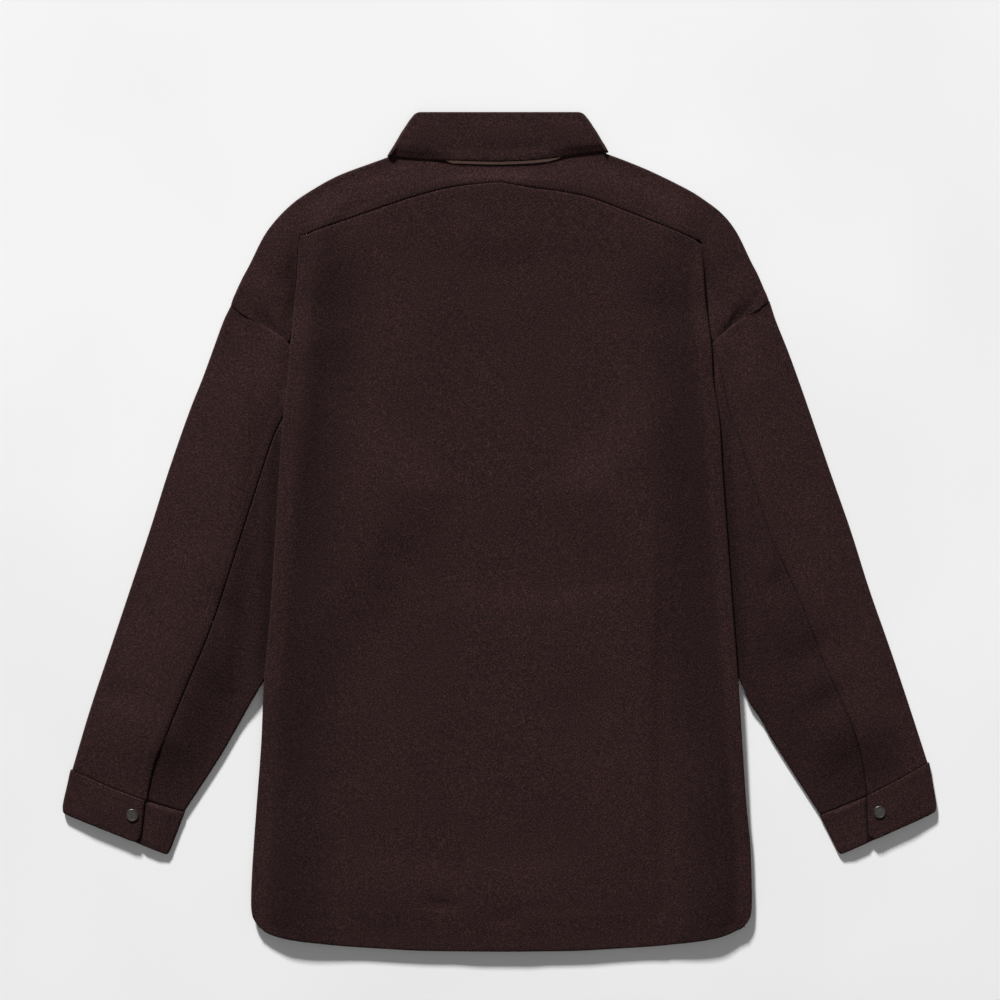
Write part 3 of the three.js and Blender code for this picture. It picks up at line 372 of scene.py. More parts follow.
@dataclass(frozen=True)
class Crease:
    """A soft trough in the cloth, or a ridge where its depth is below zero.

    Its section is a bell curve of the distance from its path, with a width of its own on each side, and its
    depth changes smoothly along the path.
    """

    path: tuple[tuple[float, float], ...]
    depth: tuple[float, ...]
    near_width: float
    far_width: float

    def relief(self, across: Array, down: Array) -> Array:
        """Lift of the cloth at plan points.

        Args:
            across: places across the garment.
            down: places down the garment.

        Returns:
            The lift in millimetres, below zero in a trough.
        """
        spots = np.asarray(self.path, float)
        lengths = np.linalg.norm(np.diff(spots, axis=0), axis=1)
        begun = np.concatenate([[0.0], np.cumsum(lengths)])
        best = np.full(np.shape(across), np.inf)
        along = np.zeros_like(best)
        width = np.full_like(best, self.near_width)
        for start, end, length, before in zip(spots[:-1], spots[1:], lengths, begun[:-1], strict=True):
            way = (end - start) / length
            reach = np.clip((across - start[0]) * way[0] + (down - start[1]) * way[1], 0.0, length)
            off_across = across - start[0] - way[0] * reach
            off_down = down - start[1] - way[1] * reach
            gap = np.hypot(off_across, off_down)
            closer = gap < best
            beyond = way[1] * off_across - way[0] * off_down > 0
            best = np.where(closer, gap, best)
            along = np.where(closer, (before + reach) / begun[-1], along)
            width = np.where(closer, np.where(beyond, self.far_width, self.near_width), width)
        depth = through(np.linspace(0.0, 1.0, len(self.depth)), self.depth, along)
        return -depth * np.exp(-((best / width) ** 2))


class Layers:
    """Heights of the cloths where they lie on each other."""

    @staticmethod
    def edge(sign: Array | int, down: Array) -> Array:
        """Distance of the body's side fold from the middle."""
        left = through(BODY_EDGE["down"], BODY_EDGE["left"], down)
        right = through(BODY_EDGE["down"], BODY_EDGE["right"], down)
        return np.where(np.asarray(sign) < 0, left, right)

    @staticmethod
    def tuck(down: Array) -> Array:
        """How deep the side of the back turns in."""
        return through(TUCK["down"], TUCK["depth"], down)

    @staticmethod
    def hem(out: Array) -> Array:
        """Place of the hem."""
        return through(HEM["out"], HEM["down"], out)

    @classmethod
    def reach(cls, sign: Array | int, down: Array) -> Array:
        """How far the sleeve reaches in under the side fold; below zero where it is clear of it."""
        inner = 119.0 + (down - UNDERARM_DOWN) * SLEEVE_LEAN
        return np.where(down < UNDERARM_DOWN, cls.tuck(down), cls.edge(sign, down) - inner)

    @staticmethod
    def front(across: Array, down: Array) -> Array:
        """Under face of the cloth on the table, lifted only over the collar's front leaves."""
        leaf = smooth(np.abs(across), 135, 111) * smooth(down, 127, 105)
        return COLLAR_LEAF_LIFT * leaf

    @classmethod
    def back(cls, across: Array, down: Array) -> Array:
        """Outer face of the back: the rest height, lifted over the tuck, the sleeve, the neck and the overlap."""
        out = np.abs(across)
        sign = np.where(across < 0, -1, 1)
        inside = cls.edge(sign, down) - out
        depth = cls.tuck(down)
        reach = cls.reach(sign, down)
        tuck = TUCK_LIFT * smooth(inside, depth + TUCK_EASE, depth + 4) * smooth(down, 70, 128)
        sleeve = SLEEVE_LIFT * smooth(inside, reach + SLEEVE_EASE, reach + 4) * smooth(down, 190, 238)
        neck = NECK_LIFT * smooth(out, 150, 112) * smooth(down, 150, 120)
        rows = smooth(down, 52, 72) * mix(1.0, 0.35, smooth(down, 125, 160))
        return BACK_REST + tuck + sleeve + neck + OVERLAP_RIDGE * rows * smooth(out, 50, 20)

    @classmethod
    def sleeve_under(cls, sign: int, out: Array, down: Array) -> Array:
        """Under face of a sleeve: on the table, or raised where it lies on the side of the body."""
        beyond = out - cls.edge(sign, down)
        rows = smooth(down, 190, 238) * (1.0 - smooth(down, 575, 640))
        return SLEEVE_LIFT * rows * (1.0 - smooth(beyond, 6, 32))

    @classmethod
    def sleeve(cls, sign: int, out: Array, down: Array, shoulder: Array | float) -> Array:
        """Outer face of a sleeve: two cloths and a little loft over its under face."""
        beyond = out - cls.edge(sign, down)
        loft = SLEEVE_LOFT * smooth(beyond, 3, 30)
        raised = SHOULDER_LOFT * shoulder * smooth(beyond, 0, 12)
        return cls.sleeve_under(sign, out, down) + TIGHT_FOLD + loft + raised

    @classmethod
    def yoke(cls, sign: int, out: Array, down: Array) -> Array:
        """Outer face of the yoke: the back's face, which sinks to the sleeve's away from the slit's top end."""
        lobe = cls.sleeve(sign, out, down, smooth(down, 150, 195))
        near = (1.0 - smooth(out, 197, 240)) * (1.0 - smooth(down, 134, 196))
        return mix(lobe, cls.back(sign * out, down), near)


@dataclass
class Cloth:
    """One cut piece of cloth: a grid of its outer face, turned into a closed wall with rounded edges."""

    name: str
    face: Array
    thickness: float = CLOTH
    looks_up: tuple[int, int] = (0, 0)
    kept: Array | None = None
    # Painted shade: a tone for each grid point, below 1 where the colour is darkened to stand in for shade
    nap: Array | float = 1.0

    def __post_init__(self) -> None:
        """Finds which way round the grid the outer face looks."""
        self.turn = 1.0
        self.turn = 1.0 if self.normals()[self.looks_up][2] > 0 else -1.0

    def normals(self) -> Array:
        """Unit normals of the outer face: the cross product of the grid's two directions."""
        cross = np.cross(np.gradient(self.face, axis=0), np.gradient(self.face, axis=1))
        size = np.linalg.norm(cross, axis=-1, keepdims=True)
        return self.turn * cross / np.maximum(size, 1e-12)

    def reach(self, edge: Edge) -> Array:
        """Distance of every grid point from an edge, measured along the cloth."""
        axis, last = edge.value
        face = np.flip(self.face, axis) if last else self.face
        steps = np.linalg.norm(np.diff(face, axis=axis), axis=-1)
        first = np.zeros_like(np.take(steps, [0], axis))
        total = np.concatenate([first, np.cumsum(steps, axis=axis)], axis=axis)
        return np.flip(total, axis) if last else total

    def raise_by(self, height: Array) -> None:
        """Moves the outer face along its normals."""
        self.face = self.face + self.normals() * height[..., None]

    def extend(self, edge: Edge, by: float) -> None:
        """Carries an edge straight on by a distance, to close it against its neighbour."""
        axis, last = edge.value
        rows = np.moveaxis(self.face, axis, 0)
        at, before = (-1, -2) if last else (0, 1)
        way = rows[at] - rows[before]
        rows[at] += by * way / np.maximum(np.linalg.norm(way, axis=-1, keepdims=True), 1e-9)

    def finish(self, edges: dict[Edge, Seam], share: Array | float = 1.0) -> None:
        """Rolls, ridges and grooves the cloth along its edges, where it looks up.

        Args:
            edges: the finish of each edge.
            share: how much of it there is, over the grid.
        """
        reaches = {edge: self.reach(edge) for edge in edges}
        height = sum(seam.height(reaches[edge]) for edge, seam in edges.items()) * share
        self.raise_by(height * smooth(self.normals()[..., 2], -0.2, 0.4))

    def line(self, edge: Edge, distance: float, span: tuple[int, int] = (0, 0)) -> tuple[Array, Array]:
        """A line on the outer face at a distance from an edge.

        Args:
            edge: the edge that it runs along.
            distance: how far in it lies.
            span: grid rows to leave out at its two ends.

        Returns:
            Its points and the face's normals there.
        """
        axis, last = edge.value
        reach = self.reach(edge)
        stack = [np.concatenate([self.face, self.normals()], axis=-1), reach[..., None]]
        both = np.concatenate(stack, axis=-1)
        both = np.moveaxis(np.flip(both, axis) if last else both, axis, 0)
        reach = both[..., -1]
        row = np.clip((reach < distance).sum(axis=0), 1, len(reach) - 1)
        places = np.arange(reach.shape[1])
        low, high = both[row - 1, places], both[row, places]
        share = (distance - low[:, -1]) / np.maximum(high[:, -1] - low[:, -1], 1e-9)
        found = mix(low, high, np.clip(share, 0.0, 1.0)[:, None])[span[0] : len(places) - span[1]]
        return found[:, :3], found[:, 3:6]

    def build(self, finish: "Finish") -> bpy.types.Object:
        """Makes the closed wall: outer face, inner face, and a rim that bulges a little between them.

        Args:
            finish: the cloth's finish.

        Returns:
            The finished piece, riding on the body.
        """
        rows, ranks = self.face.shape[:2]
        index = np.arange(rows * ranks).reshape(rows, ranks)
        quads = np.stack([index[:-1, :-1], index[1:, :-1], index[1:, 1:], index[:-1, 1:]], axis=-1)
        quads = quads.reshape(-1, 4) if self.kept is None else quads[self.kept]
        if self.turn < 0:
            quads = quads[:, ::-1]
        outer = self.face.reshape(-1, 3)
        normals = self.normals().reshape(-1, 3)
        inner = outer - normals * self.thickness
        count = len(outer)
        ways = np.stack([quads, np.roll(quads, -1, axis=1)], axis=-1).reshape(-1, 2)
        _, where, uses = np.unique(np.sort(ways, axis=1), axis=0, return_inverse=True, return_counts=True)
        rim = ways[uses[where.ravel()] == 1]
        aside = np.cross(outer[rim[:, 1]] - outer[rim[:, 0]], normals[rim[:, 0]])
        away = np.zeros_like(outer)
        np.add.at(away, rim.ravel(), np.repeat(aside, 2, axis=0))
        away /= np.maximum(np.linalg.norm(away, axis=1, keepdims=True), 1e-9)
        middle = (outer + inner) / 2 + away * (0.2 * self.thickness)
        start, end = rim[:, 0], rim[:, 1]
        upper = np.stack([end, start, start + 2 * count, end + 2 * count], axis=1)
        lower = np.stack([end + 2 * count, start + 2 * count, start + count, end + count], axis=1)
        faces = np.concatenate([quads, quads[:, ::-1] + count, upper, lower])
        grain = np.stack([self.reach(Edge.START), self.reach(Edge.NEAR)], axis=-1).reshape(-1, 2)
        points = np.concatenate([outer, inner, middle])
        nap = np.broadcast_to(self.nap, (rows, ranks)).reshape(-1, 1)
        surface = np.tile(np.concatenate([grain, nap], axis=1), (3, 1))
        return make_piece(self.name, points, faces, finish, surface)


def make_piece(
    name: str, points: Array, faces: Array, finish: "Finish", surface: Array | None = None
) -> bpy.types.Object:
    """Makes a mesh object from points in millimetres and faces of four corners.

    Args:
        name: the piece's name.
        points: the points, of which those without a face are left out.
        faces: rows of four point numbers, facing outwards.
        finish: its finish.
        surface: place of each point on the flat cloth, for the weave's own map, and its painted shade tone.

    Returns:
        The object, smooth shaded and riding on the body.
    """
    used, place = np.unique(faces, return_inverse=True)
    points, faces = points[used], place.reshape(-1, 4)
    mesh = bpy.data.meshes.new(name)
    mesh.from_pydata((points * TO_METRES).tolist(), [], faces.tolist())
    mesh.polygons.foreach_set("use_smooth", np.ones(len(faces), bool))
    if surface is not None:
        grain = mesh.uv_layers.new(name="grain")
        grain.data.foreach_set("uv", (surface[used][faces.ravel(), :2] * TO_METRES).ravel())
        # Painted shade: the tone that darkens the wool's colour where shade falls
        nap = mesh.attributes.new("nap", "FLOAT", "POINT")
        nap.data.foreach_set("value", surface[used][:, 2].copy())
    mesh.materials.append(finish.material())
    mesh.validate()
    piece = bpy.data.objects.new(name, mesh)
    bpy.context.scene.collection.objects.link(piece)
    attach(piece, "root")
    corners = points[faces]
    spread = np.cross(corners[:, 2] - corners[:, 0], corners[:, 3] - corners[:, 1])
    area = np.linalg.norm(spread, axis=1).sum() / 2 * TO_METRES**2
    log.info("%s: %d faces, %.4f square metres a side", name, len(faces), area / 2)
    return piece


@dataclass
class Stitching:
    """Rows of topstitches: each stitch is a short arched thread that dips into the cloth at both ends."""

    name: str
    pitch: float = 3.6
    length: float = 2.5
    radius: float = 0.26
    rings: int = 5
    sides: int = 6
    spots: list[Array] = field(default_factory=list)

    def add(self, points: Array, normals: Array) -> None:
        """Lays stitches along a line, evenly by its length.

        Args:
            points: points of the line, in the part's frame.
            normals: the cloth's normals there.
        """
        reach = np.concatenate([[0.0], np.cumsum(np.linalg.norm(np.diff(points, axis=0), axis=1))])
        count = int(reach[-1] / self.pitch)
        places = (np.arange(count) + 0.5) * reach[-1] / max(count, 1)
        middle = np.stack([np.interp(places, reach, points[:, k]) for k in range(3)], axis=1)
        ahead = np.stack([np.interp(places + 0.5, reach, points[:, k]) for k in range(3)], axis=1)
        behind = np.stack([np.interp(places - 0.5, reach, points[:, k]) for k in range(3)], axis=1)
        upward = np.stack([np.interp(places, reach, normals[:, k]) for k in range(3)], axis=1)
        along = ahead - behind
        along /= np.linalg.norm(along, axis=1, keepdims=True)
        self.spots.append(np.stack([middle, along, upward], axis=1))

    def build(self, finish: "Finish") -> bpy.types.Object:
        """Makes all stitches as one piece: rings on a sine arch, narrowing to the ends."""
        spots = np.concatenate(self.spots)
        ring = np.linspace(-1.0, 1.0, self.rings)
        around = np.arange(self.sides) * 2 * np.pi / self.sides
        slim = self.radius * np.sqrt(1.02 - ring**2)
        forth = np.repeat(ring * self.length / 2, self.sides)
        rise = 0.5 * self.radius * np.cos(ring * np.pi / 2) - 0.75 * self.radius * ring**4
        aside = (slim[:, None] * np.cos(around)).ravel()
        over = (rise[:, None] + slim[:, None] * np.sin(around)).ravel()
        middle, along, upward = spots[:, 0, None], spots[:, 1, None], spots[:, 2, None]
        sideways = np.cross(upward, along)
        points = middle + along * forth[:, None] + sideways * aside[:, None] + upward * over[:, None]
        each = self.rings * self.sides
        index = np.arange(each).reshape(self.rings, self.sides)
        after = np.roll(index, -1, axis=1)
        tube = np.stack([index[:-1], after[:-1], after[1:], index[1:]], axis=-1).reshape(-1, 4)
        first, last = index[0], index[-1]
        caps = np.array(
            [
                [first[3], first[2], first[1], first[0]],
                [first[0], first[5], first[4], first[3]],
                [last[0], last[1], last[2], last[3]],
                [last[3], last[4], last[5], last[0]],
            ]
        )
        unit = np.concatenate([tube, caps])
        shift = np.arange(len(spots))[:, None, None] * each
        return make_piece(self.name, points.reshape(-1, 3), (unit + shift).reshape(-1, 4), finish)


def to_linear(colour: str) -> tuple[float, float, float, float]:
    """Linear values of an sRGB hex colour, by the sRGB curve."""
    parts = np.array([int(colour[i : i + 2], 16) for i in (1, 3, 5)]) / 255.0
    linear = np.where(parts <= 0.04045, parts / 12.92, ((parts + 0.055) / 1.055) ** 2.4)
    return (*(float(part) for part in linear), 1.0)


def add_node(tree: bpy.types.NodeTree, kind: str, inputs: dict[str | int, object], **settings: object) -> bpy.types.Node:
    """Adds a node with its settings, values and links.

    Args:
        tree: the node tree.
        kind: the node's type.
        inputs: by socket name or number, a value, or an output socket to link from.
        settings: the node's own properties.

    Returns:
        The node.
    """
    node = tree.nodes.new(kind)
    for name, value in settings.items():
        setattr(node, name, value)
    for name, value in inputs.items():
        if isinstance(value, bpy.types.NodeSocket):
            tree.links.new(value, node.inputs[name])
        else:
            node.inputs[name].default_value = value
    return node


def add_ramp(tree: bpy.types.NodeTree, source: bpy.types.NodeSocket, stops: dict[float, str]) -> bpy.types.NodeSocket:
    """Turns a value to a colour, by hex colours at places from 0 to 1."""
    node = add_node(tree, "ShaderNodeValToRGB", {0: source})
    ramp = node.color_ramp
    for element, place in zip(ramp.elements, (min(stops), max(stops)), strict=True):
        element.position = place
    for place in sorted(stops)[1:-1]:
        ramp.elements.new(place)
    for element, place in zip(ramp.elements, sorted(stops), strict=True):
        element.color = to_linear(stops[place])
    return node.outputs[0]


@dataclass(frozen=True)
class Finish:
    """A finish: its name, its slot in the record, and the shader that its class adds."""

    name: str
    slot: str

    def material(self) -> bpy.types.Material:
        """The finish's material, made on first use."""
        made = bpy.data.materials.get(self.name)
        if made is not None:
            return made
        made = bpy.data.materials.new(self.name)
        made.use_nodes = True
        tree = made.node_tree
        tree.nodes.clear()
        shader = self.shade(tree)
        add_node(tree, "ShaderNodeOutputMaterial", {"Surface": shader.outputs[0]})
        return made

    def shade(self, tree: bpy.types.NodeTree) -> bpy.types.Node:
        """Adds the shader and what feeds it."""
        raise NotImplementedError


@dataclass(frozen=True)
class BrushedWool(Finish):
    """Wool flannel, milled and brushed: a felted face of mixed fibres over a faint twill.

    Its eye: no gloss, a fine speckle of dark and red-brown fibres, broad soft patches where the nap lies
    another way, and a pale bloom along folds from fibres that stand up.
    """

    dark: str
    middle: str
    light: str
    patch_dark: str
    patch_light: str
    speckle_mm: float = 1.5
    fleck_mm: float = 0.8
    patch_mm: float = 90.0
    twill_mm: float = 2.0
    nap_mm: float = 0.5

    def shade(self, tree: bpy.types.NodeTree) -> bpy.types.Node:
        """Speckle and flecks by noise, tinted by broad patches and darkened by each piece's painted shade tone, with
        a bump of twill, felt and nap.
        """
        place = add_node(tree, "ShaderNodeTexCoord", {})
        spot = place.outputs["Object"]
        speckle = add_node(
            tree, "ShaderNodeTexNoise",
            {"Vector": spot, "Scale": 1000.0 / self.speckle_mm, "Detail": 3.0, "Roughness": 0.7},
        )
        fleck = add_node(
            tree, "ShaderNodeTexNoise",
            {"Vector": spot, "Scale": 1000.0 / self.fleck_mm, "Detail": 1.0, "Roughness": 0.5},
        )
        both = add_node(
            tree, "ShaderNodeMix",
            {0: 0.35, 2: speckle.outputs["Fac"], 3: fleck.outputs["Fac"]},
        )
        fibres = add_ramp(tree, both.outputs[0], {0.37: self.dark, 0.5: self.middle, 0.64: self.light})
        patch = add_node(
            tree, "ShaderNodeTexNoise",
            {"Vector": spot, "Scale": 1000.0 / self.patch_mm, "Detail": 3.0, "Roughness": 0.55},
        )
        tint = add_ramp(tree, patch.outputs["Fac"], {0.32: self.patch_dark, 0.68: self.patch_light})
        colour = add_node(
            tree, "ShaderNodeMix",
            {0: 1.0, 6: fibres, 7: tint}, data_type="RGBA", blend_type="MULTIPLY",
        )
        # Painted shade: each piece's tone darkens the colour in hollows, under parts and beside edges, where shade
        # falls
        painted_shade_tone = add_node(tree, "ShaderNodeAttribute", {}, attribute_name="nap")
        shaded = add_node(
            tree, "ShaderNodeMix",
            {0: 1.0, 6: colour.outputs[2], 7: painted_shade_tone.outputs["Fac"]}, data_type="RGBA", blend_type="MULTIPLY",
        )
        grain = add_node(tree, "ShaderNodeUVMap", {}, uv_map="grain")
        # One wave of the node's bands is a fifth of its unit over pi, so the scale counts ribs a metre.
        twill = add_node(
            tree, "ShaderNodeTexWave",
            {"Vector": grain.outputs[0], "Scale": 1000.0 / self.twill_mm / 3.2, "Distortion": 2.0, "Detail": 2.0},
            wave_type="BANDS", bands_direction="DIAGONAL",
        )
        nap = add_node(
            tree, "ShaderNodeTexNoise",
            {"Vector": spot, "Scale": 1000.0 / self.nap_mm, "Detail": 2.0, "Roughness": 0.6},
        )
        ribs = add_node(
            tree, "ShaderNodeBump",
            {"Strength": 0.25, "Distance": 0.0002, "Height": twill.outputs["Fac"]},
        )
        felt = add_node(
            tree, "ShaderNodeBump",
            {"Strength": 0.6, "Distance": 0.0005, "Height": speckle.outputs["Fac"], "Normal": ribs.outputs[0]},
        )
        fuzz = add_node(
            tree, "ShaderNodeBump",
            {"Strength": 0.5, "Distance": 0.0002, "Height": nap.outputs["Fac"], "Normal": felt.outputs[0]},
        )
        return add_node(
            tree, "ShaderNodeBsdfPrincipled",
            {
                "Base Color": shaded.outputs[2],
                "Roughness": 0.95,
                "Specular IOR Level": 0.08,
                "Sheen Weight": 0.07,
                "Sheen Roughness": 0.55,
                "Sheen Tint": to_linear("#b09a98"),
                "Normal": fuzz.outputs[0],
            },
        )


@dataclass(frozen=True)
class CollarFelt(Finish):
    """Tan under-collar felt, needled wool without a weave: matt and a little hairy."""

    dark: str
    light: str
    fibre_mm: float = 0.9

    def shade(self, tree: bpy.types.NodeTree) -> bpy.types.Node:
        """Two tans mixed by fibre noise, and a bump of the same noise."""
        place = add_node(tree, "ShaderNodeTexCoord", {})
        fibre = add_node(
            tree, "ShaderNodeTexNoise",
            {"Vector": place.outputs["Object"], "Scale": 1000.0 / self.fibre_mm, "Detail": 3.0},
        )
        colour = add_ramp(tree, fibre.outputs["Fac"], {0.35: self.dark, 0.65: self.light})
        bump = add_node(
            tree, "ShaderNodeBump", {"Strength": 0.4, "Distance": 0.0003, "Height": fibre.outputs["Fac"]}
        )
        return add_node(
            tree, "ShaderNodeBsdfPrincipled",
            {"Base Color": colour, "Roughness": 0.95, "Specular IOR Level": 0.1, "Normal": bump.outputs[0]},
        )


@dataclass(frozen=True)
class SpunThread(Finish):
    """Polyester sewing thread in the cloth's colour: twisted plies with a slight shine."""

    colour: str
    light: str
    twist_mm: float = 0.5

    def shade(self, tree: bpy.types.NodeTree) -> bpy.types.Node:
        """Twist bands for colour and bump."""
        place = add_node(tree, "ShaderNodeTexCoord", {})
        twist = add_node(
            tree, "ShaderNodeTexWave",
            {"Vector": place.outputs["Object"], "Scale": 1000.0 / self.twist_mm / 3.2, "Distortion": 1.0},
            wave_type="BANDS", bands_direction="DIAGONAL",
        )
        colour = add_ramp(tree, twist.outputs["Fac"], {0.2: self.colour, 0.8: self.light})
        bump = add_node(
            tree, "ShaderNodeBump", {"Strength": 0.4, "Distance": 0.0001, "Height": twist.outputs["Fac"]}
        )
        return add_node(
            tree, "ShaderNodeBsdfPrincipled",
            {"Base Color": colour, "Roughness": 0.8, "Specular IOR Level": 0.1, "Normal": bump.outputs[0]},
        )


@dataclass(frozen=True)
class GunmetalPlate(Finish):
    """Brass snap cap with a dark nickel plating, tumbled: a smoky metal with fine rubbed marks."""

    dark: str
    light: str
    mark_mm: float = 1.2

    def shade(self, tree: bpy.types.NodeTree) -> bpy.types.Node:
        """Metal whose colour and roughness vary by fine noise."""
        place = add_node(tree, "ShaderNodeTexCoord", {})
        marks = add_node(
            tree, "ShaderNodeTexNoise",
            {"Vector": place.outputs["Object"], "Scale": 1000.0 / self.mark_mm, "Detail": 4.0, "Roughness": 0.7},
        )
        colour = add_ramp(tree, marks.outputs["Fac"], {0.3: self.dark, 0.7: self.light})
        rough = add_node(tree, "ShaderNodeMapRange", {0: marks.outputs["Fac"], 3: 0.3, 4: 0.5})
        return add_node(
            tree, "ShaderNodeBsdfPrincipled",
            {"Base Color": colour, "Metallic": 1.0, "Roughness": rough.outputs[0]},
        )


@dataclass(frozen=True)
class Paper(Finish):
    """White backdrop paper: matt, with a barely uneven tone."""

    dark: str
    light: str

    def shade(self, tree: bpy.types.NodeTree) -> bpy.types.Node:
        """Two whites by slow noise."""
        place = add_node(tree, "ShaderNodeTexCoord", {})
        cloud = add_node(tree, "ShaderNodeTexNoise", {"Vector": place.outputs["Object"], "Scale": 3.0})
        colour = add_ramp(tree, cloud.outputs["Fac"], {0.3: self.dark, 0.7: self.light})
        return add_node(
            tree, "ShaderNodeBsdfPrincipled",
            {"Base Color": colour, "Roughness": 0.9, "Specular IOR Level": 0.2},
        )


WOOL = BrushedWool("brushed_wool_flannel", "wool", "#190f10", "#2b1b1b", "#4a302f", "#f0f0f0", "#ffffff")
FELT = CollarFelt("under_collar_felt", "underCollar", "#937468", "#be9a8d")
THREAD = SpunThread("spun_sewing_thread", "wool", "#1a1111", "#2a1d1d")
GUNMETAL = GunmetalPlate("gunmetal_plated_brass", "gunmetal", "#454241", "#716d6b")
PAPER = Paper("backdrop_paper", "", "#f4f4f4", "#fafafa")


@dataclass
class Body:
    """The back and the yoke, with the soft shape of the cloth over them."""

    loft: float = 4.6
    hollow: float = 1.7
    painted_shade: float = 0.28
    lobe_loft: float = 2.2
    fold_ridge: float = 0.8
    hem_ridge: float = 0.5
    hem_depth: float = 38.0
    hem_share: float = 0.45
    corner_down: float = 815.0
    creases: tuple[Crease, ...] = (
        # The long troughs that follow the side folds
        Crease(
            ((-154, 112), (-160, 160), (-164, 230), (-170, 300), (-178, 360), (-188, 421), (-200, 507), (-210, 640)),
            (0.8, 3.4, 4.4, 4.4, 4.4, 4.0, 3.2, 1.6), 22, 52,
        ),
        Crease(
            ((163, 118), (172, 170), (182, 220), (190, 290), (198, 349), (208, 435), (214, 540), (216, 640)),
            (0.8, 3.2, 4.2, 4.2, 4.0, 3.8, 2.8, 0.8), 34, 12,
        ),
        # The lower right fold: a crisp inner side and a broad floor
        Crease(
            ((165, 390), (164, 470), (162, 560), (161, 640), (161, 720), (164, 800)),
            (0.2, 1.8, 3.0, 3.0, 2.6, 2.0), 7, 40,
        ),
        # Slack across the waist and above the hem
        Crease(((-70, 462), (-20, 472), (45, 477), (100, 472), (150, 462)), (0.2, 1.4, 1.7, 1.4, 0.4), 16, 50),
        Crease(((-165, 720), (-110, 742), (-40, 750), (40, 742), (95, 730)), (0.2, 1.0, 1.3, 1.0, 0.2), 18, 44),
        Crease(((-120, 430), (-108, 446), (-98, 462)), (0.3, 0.9, 0.3), 14, 14),
        Crease(((-20, 150), (-24, 260), (-14, 380), (-6, 450)), (0.8, 1.7, 1.7, 0.6), 48, 60),
        Crease(((30, 300), (36, 360), (28, 430)), (0.2, 0.8, 0.3), 12, 20),
        Crease(((-90, 620), (-70, 560), (-30, 520)), (0.1, 0.6, 0.2), 20, 28),
        Crease(((60, 640), (90, 590), (120, 560)), (0.1, 0.6, 0.2), 20, 24),
        # Puckers at the hem
        Crease(((-84, 790), (-60, 794), (-36, 793)), (0.1, 1.5, 0.1), 5, 9),
        Crease(((-18, 806), (6, 810), (30, 808)), (0.1, 1.5, 0.1), 5, 9),
        Crease(((-60, 800), (-58, 824)), (0.6, 0.1), 6, 6),
        # The hollow in front of the collar seam, and the pull from each shoulder
        Crease(((-60, 56), (-20, 60), (20, 60), (56, 55)), (0.3, 1.2, 1.2, 0.3), 8, 8),
        Crease(((-128, 84), (-150, 104), (-166, 128)), (0.2, 1.2, 0.4), 12, 14),
        Crease(((126, 82), (148, 104), (164, 130)), (0.2, 1.2, 0.4), 14, 12),
    )

    # The folds that the sleeve caps press into the yoke beside the slits
    cap_creases: tuple[Crease, ...] = (
        Crease(((203, 150), (207, 164), (218, 188), (228, 207)), (0.1, 1.4, 1.7, 0.8), 3, 14),
        Crease(((-208, 150), (-213, 166), (-215, 184)), (0.2, 1.4, 0.3), 12, 5),
    )

    def relief(self, across: Array, down: Array) -> Array:
        """Soft shape of the back and the yoke over their layers, never below them.

        It is an even loft that dies out at the folds, the hem and the shoulder line, and the creases.

        Args:
            across: places across the garment.
            down: places down the garment.

        Returns:
            The lift in millimetres.
        """
        out = np.abs(across)
        inside = Layers.edge(np.where(across < 0, -1, 1), down) - out
        left = through(YOKE_LEFT["fold_out"], YOKE_LEFT["fold_down"], out)
        right = through(YOKE_RIGHT["fold_out"], YOKE_RIGHT["fold_down"], out)
        below = down - np.where(across < 0, left, right)
        above = Layers.hem(out) - down
        sides = mix(1.0, smooth(inside, 3, 30), smooth(down, 60, 126))
        window = sides * smooth(below, 4, 40) * mix(self.hem_share, 1.0, smooth(above, 0, 60))
        ridge = self.fold_ridge * np.exp(-(((inside - 7) / 6) ** 2)) * smooth(down, 128, 170) * smooth(above, 0, 30)
        raised = self.loft * window + sum(crease.relief(across, down) for crease in self.creases) * window
        floor = 0.25
        return ridge + (raised + np.sqrt(raised**2 + floor) - np.sqrt(floor)) / 2

    def nap(self, across: Array, down: Array) -> Array:
        """Painted shade: the colour darkens in the hollow inside each side fold, where shade falls."""
        inside = Layers.edge(np.where(across < 0, -1, 1), down) - np.abs(across)
        rows = smooth(down, 100, 190)
        hollow = smooth(inside, 11, 20) * (1.0 - smooth(inside, 34, 95))
        return 1.0 - self.painted_shade * rows * hollow

    def hem_step(self, across: Array, down: Array) -> Array:
        """Ridge at the upper edge of the turned hem, where it shows faintly through the cloth."""
        above = Layers.hem(np.abs(across)) - down
        shown = 0.4 + 0.6 * smooth(np.abs(across - 60), 60, 20)
        return self.hem_ridge * shown * (1.0 - smooth(above, self.hem_depth - 2, self.hem_depth + 3))

    def back(self) -> Cloth:
        """The back panel: flat between its side folds, and turned under at both sides."""
        t = graded(BODY_BOTTOM - BODY_TOP, 0.9, 3.6, 11.0)[None, :]
        w = graded(440.0, 1.4, 3.4, 12.0)[:, None]
        half_turn = column(np.linspace(0, 1, 11))
        lying = column(np.linspace(0, KNEE_SHARE, 5), np.linspace(KNEE_SHARE, 1, 4))[1:]
        edges, insets = {}, {}
        for side, top_down in ((Side.LEFT, BODY_TOP), (Side.RIGHT, BODY_TOP + 4.5)):
            edges[side] = self.fold_edge(side, top_down)
            insets[side] = self.inner_line(edges[side])
        flipped = np.array([-1.0, 1.0])

        def start(t: Array) -> Array:
            """The left fold's inner line."""
            return insets[Side.LEFT](t) * flipped

        end = insets[Side.RIGHT]

        def top_edge(w: Array) -> Array:
            """Edge along the yoke seam."""
            across = mix(start(np.float64(0))[0], end(np.float64(0))[0], w)
            return np.stack([across, self.seam_down(across) + 2 * SEAM_GAP], axis=-1)

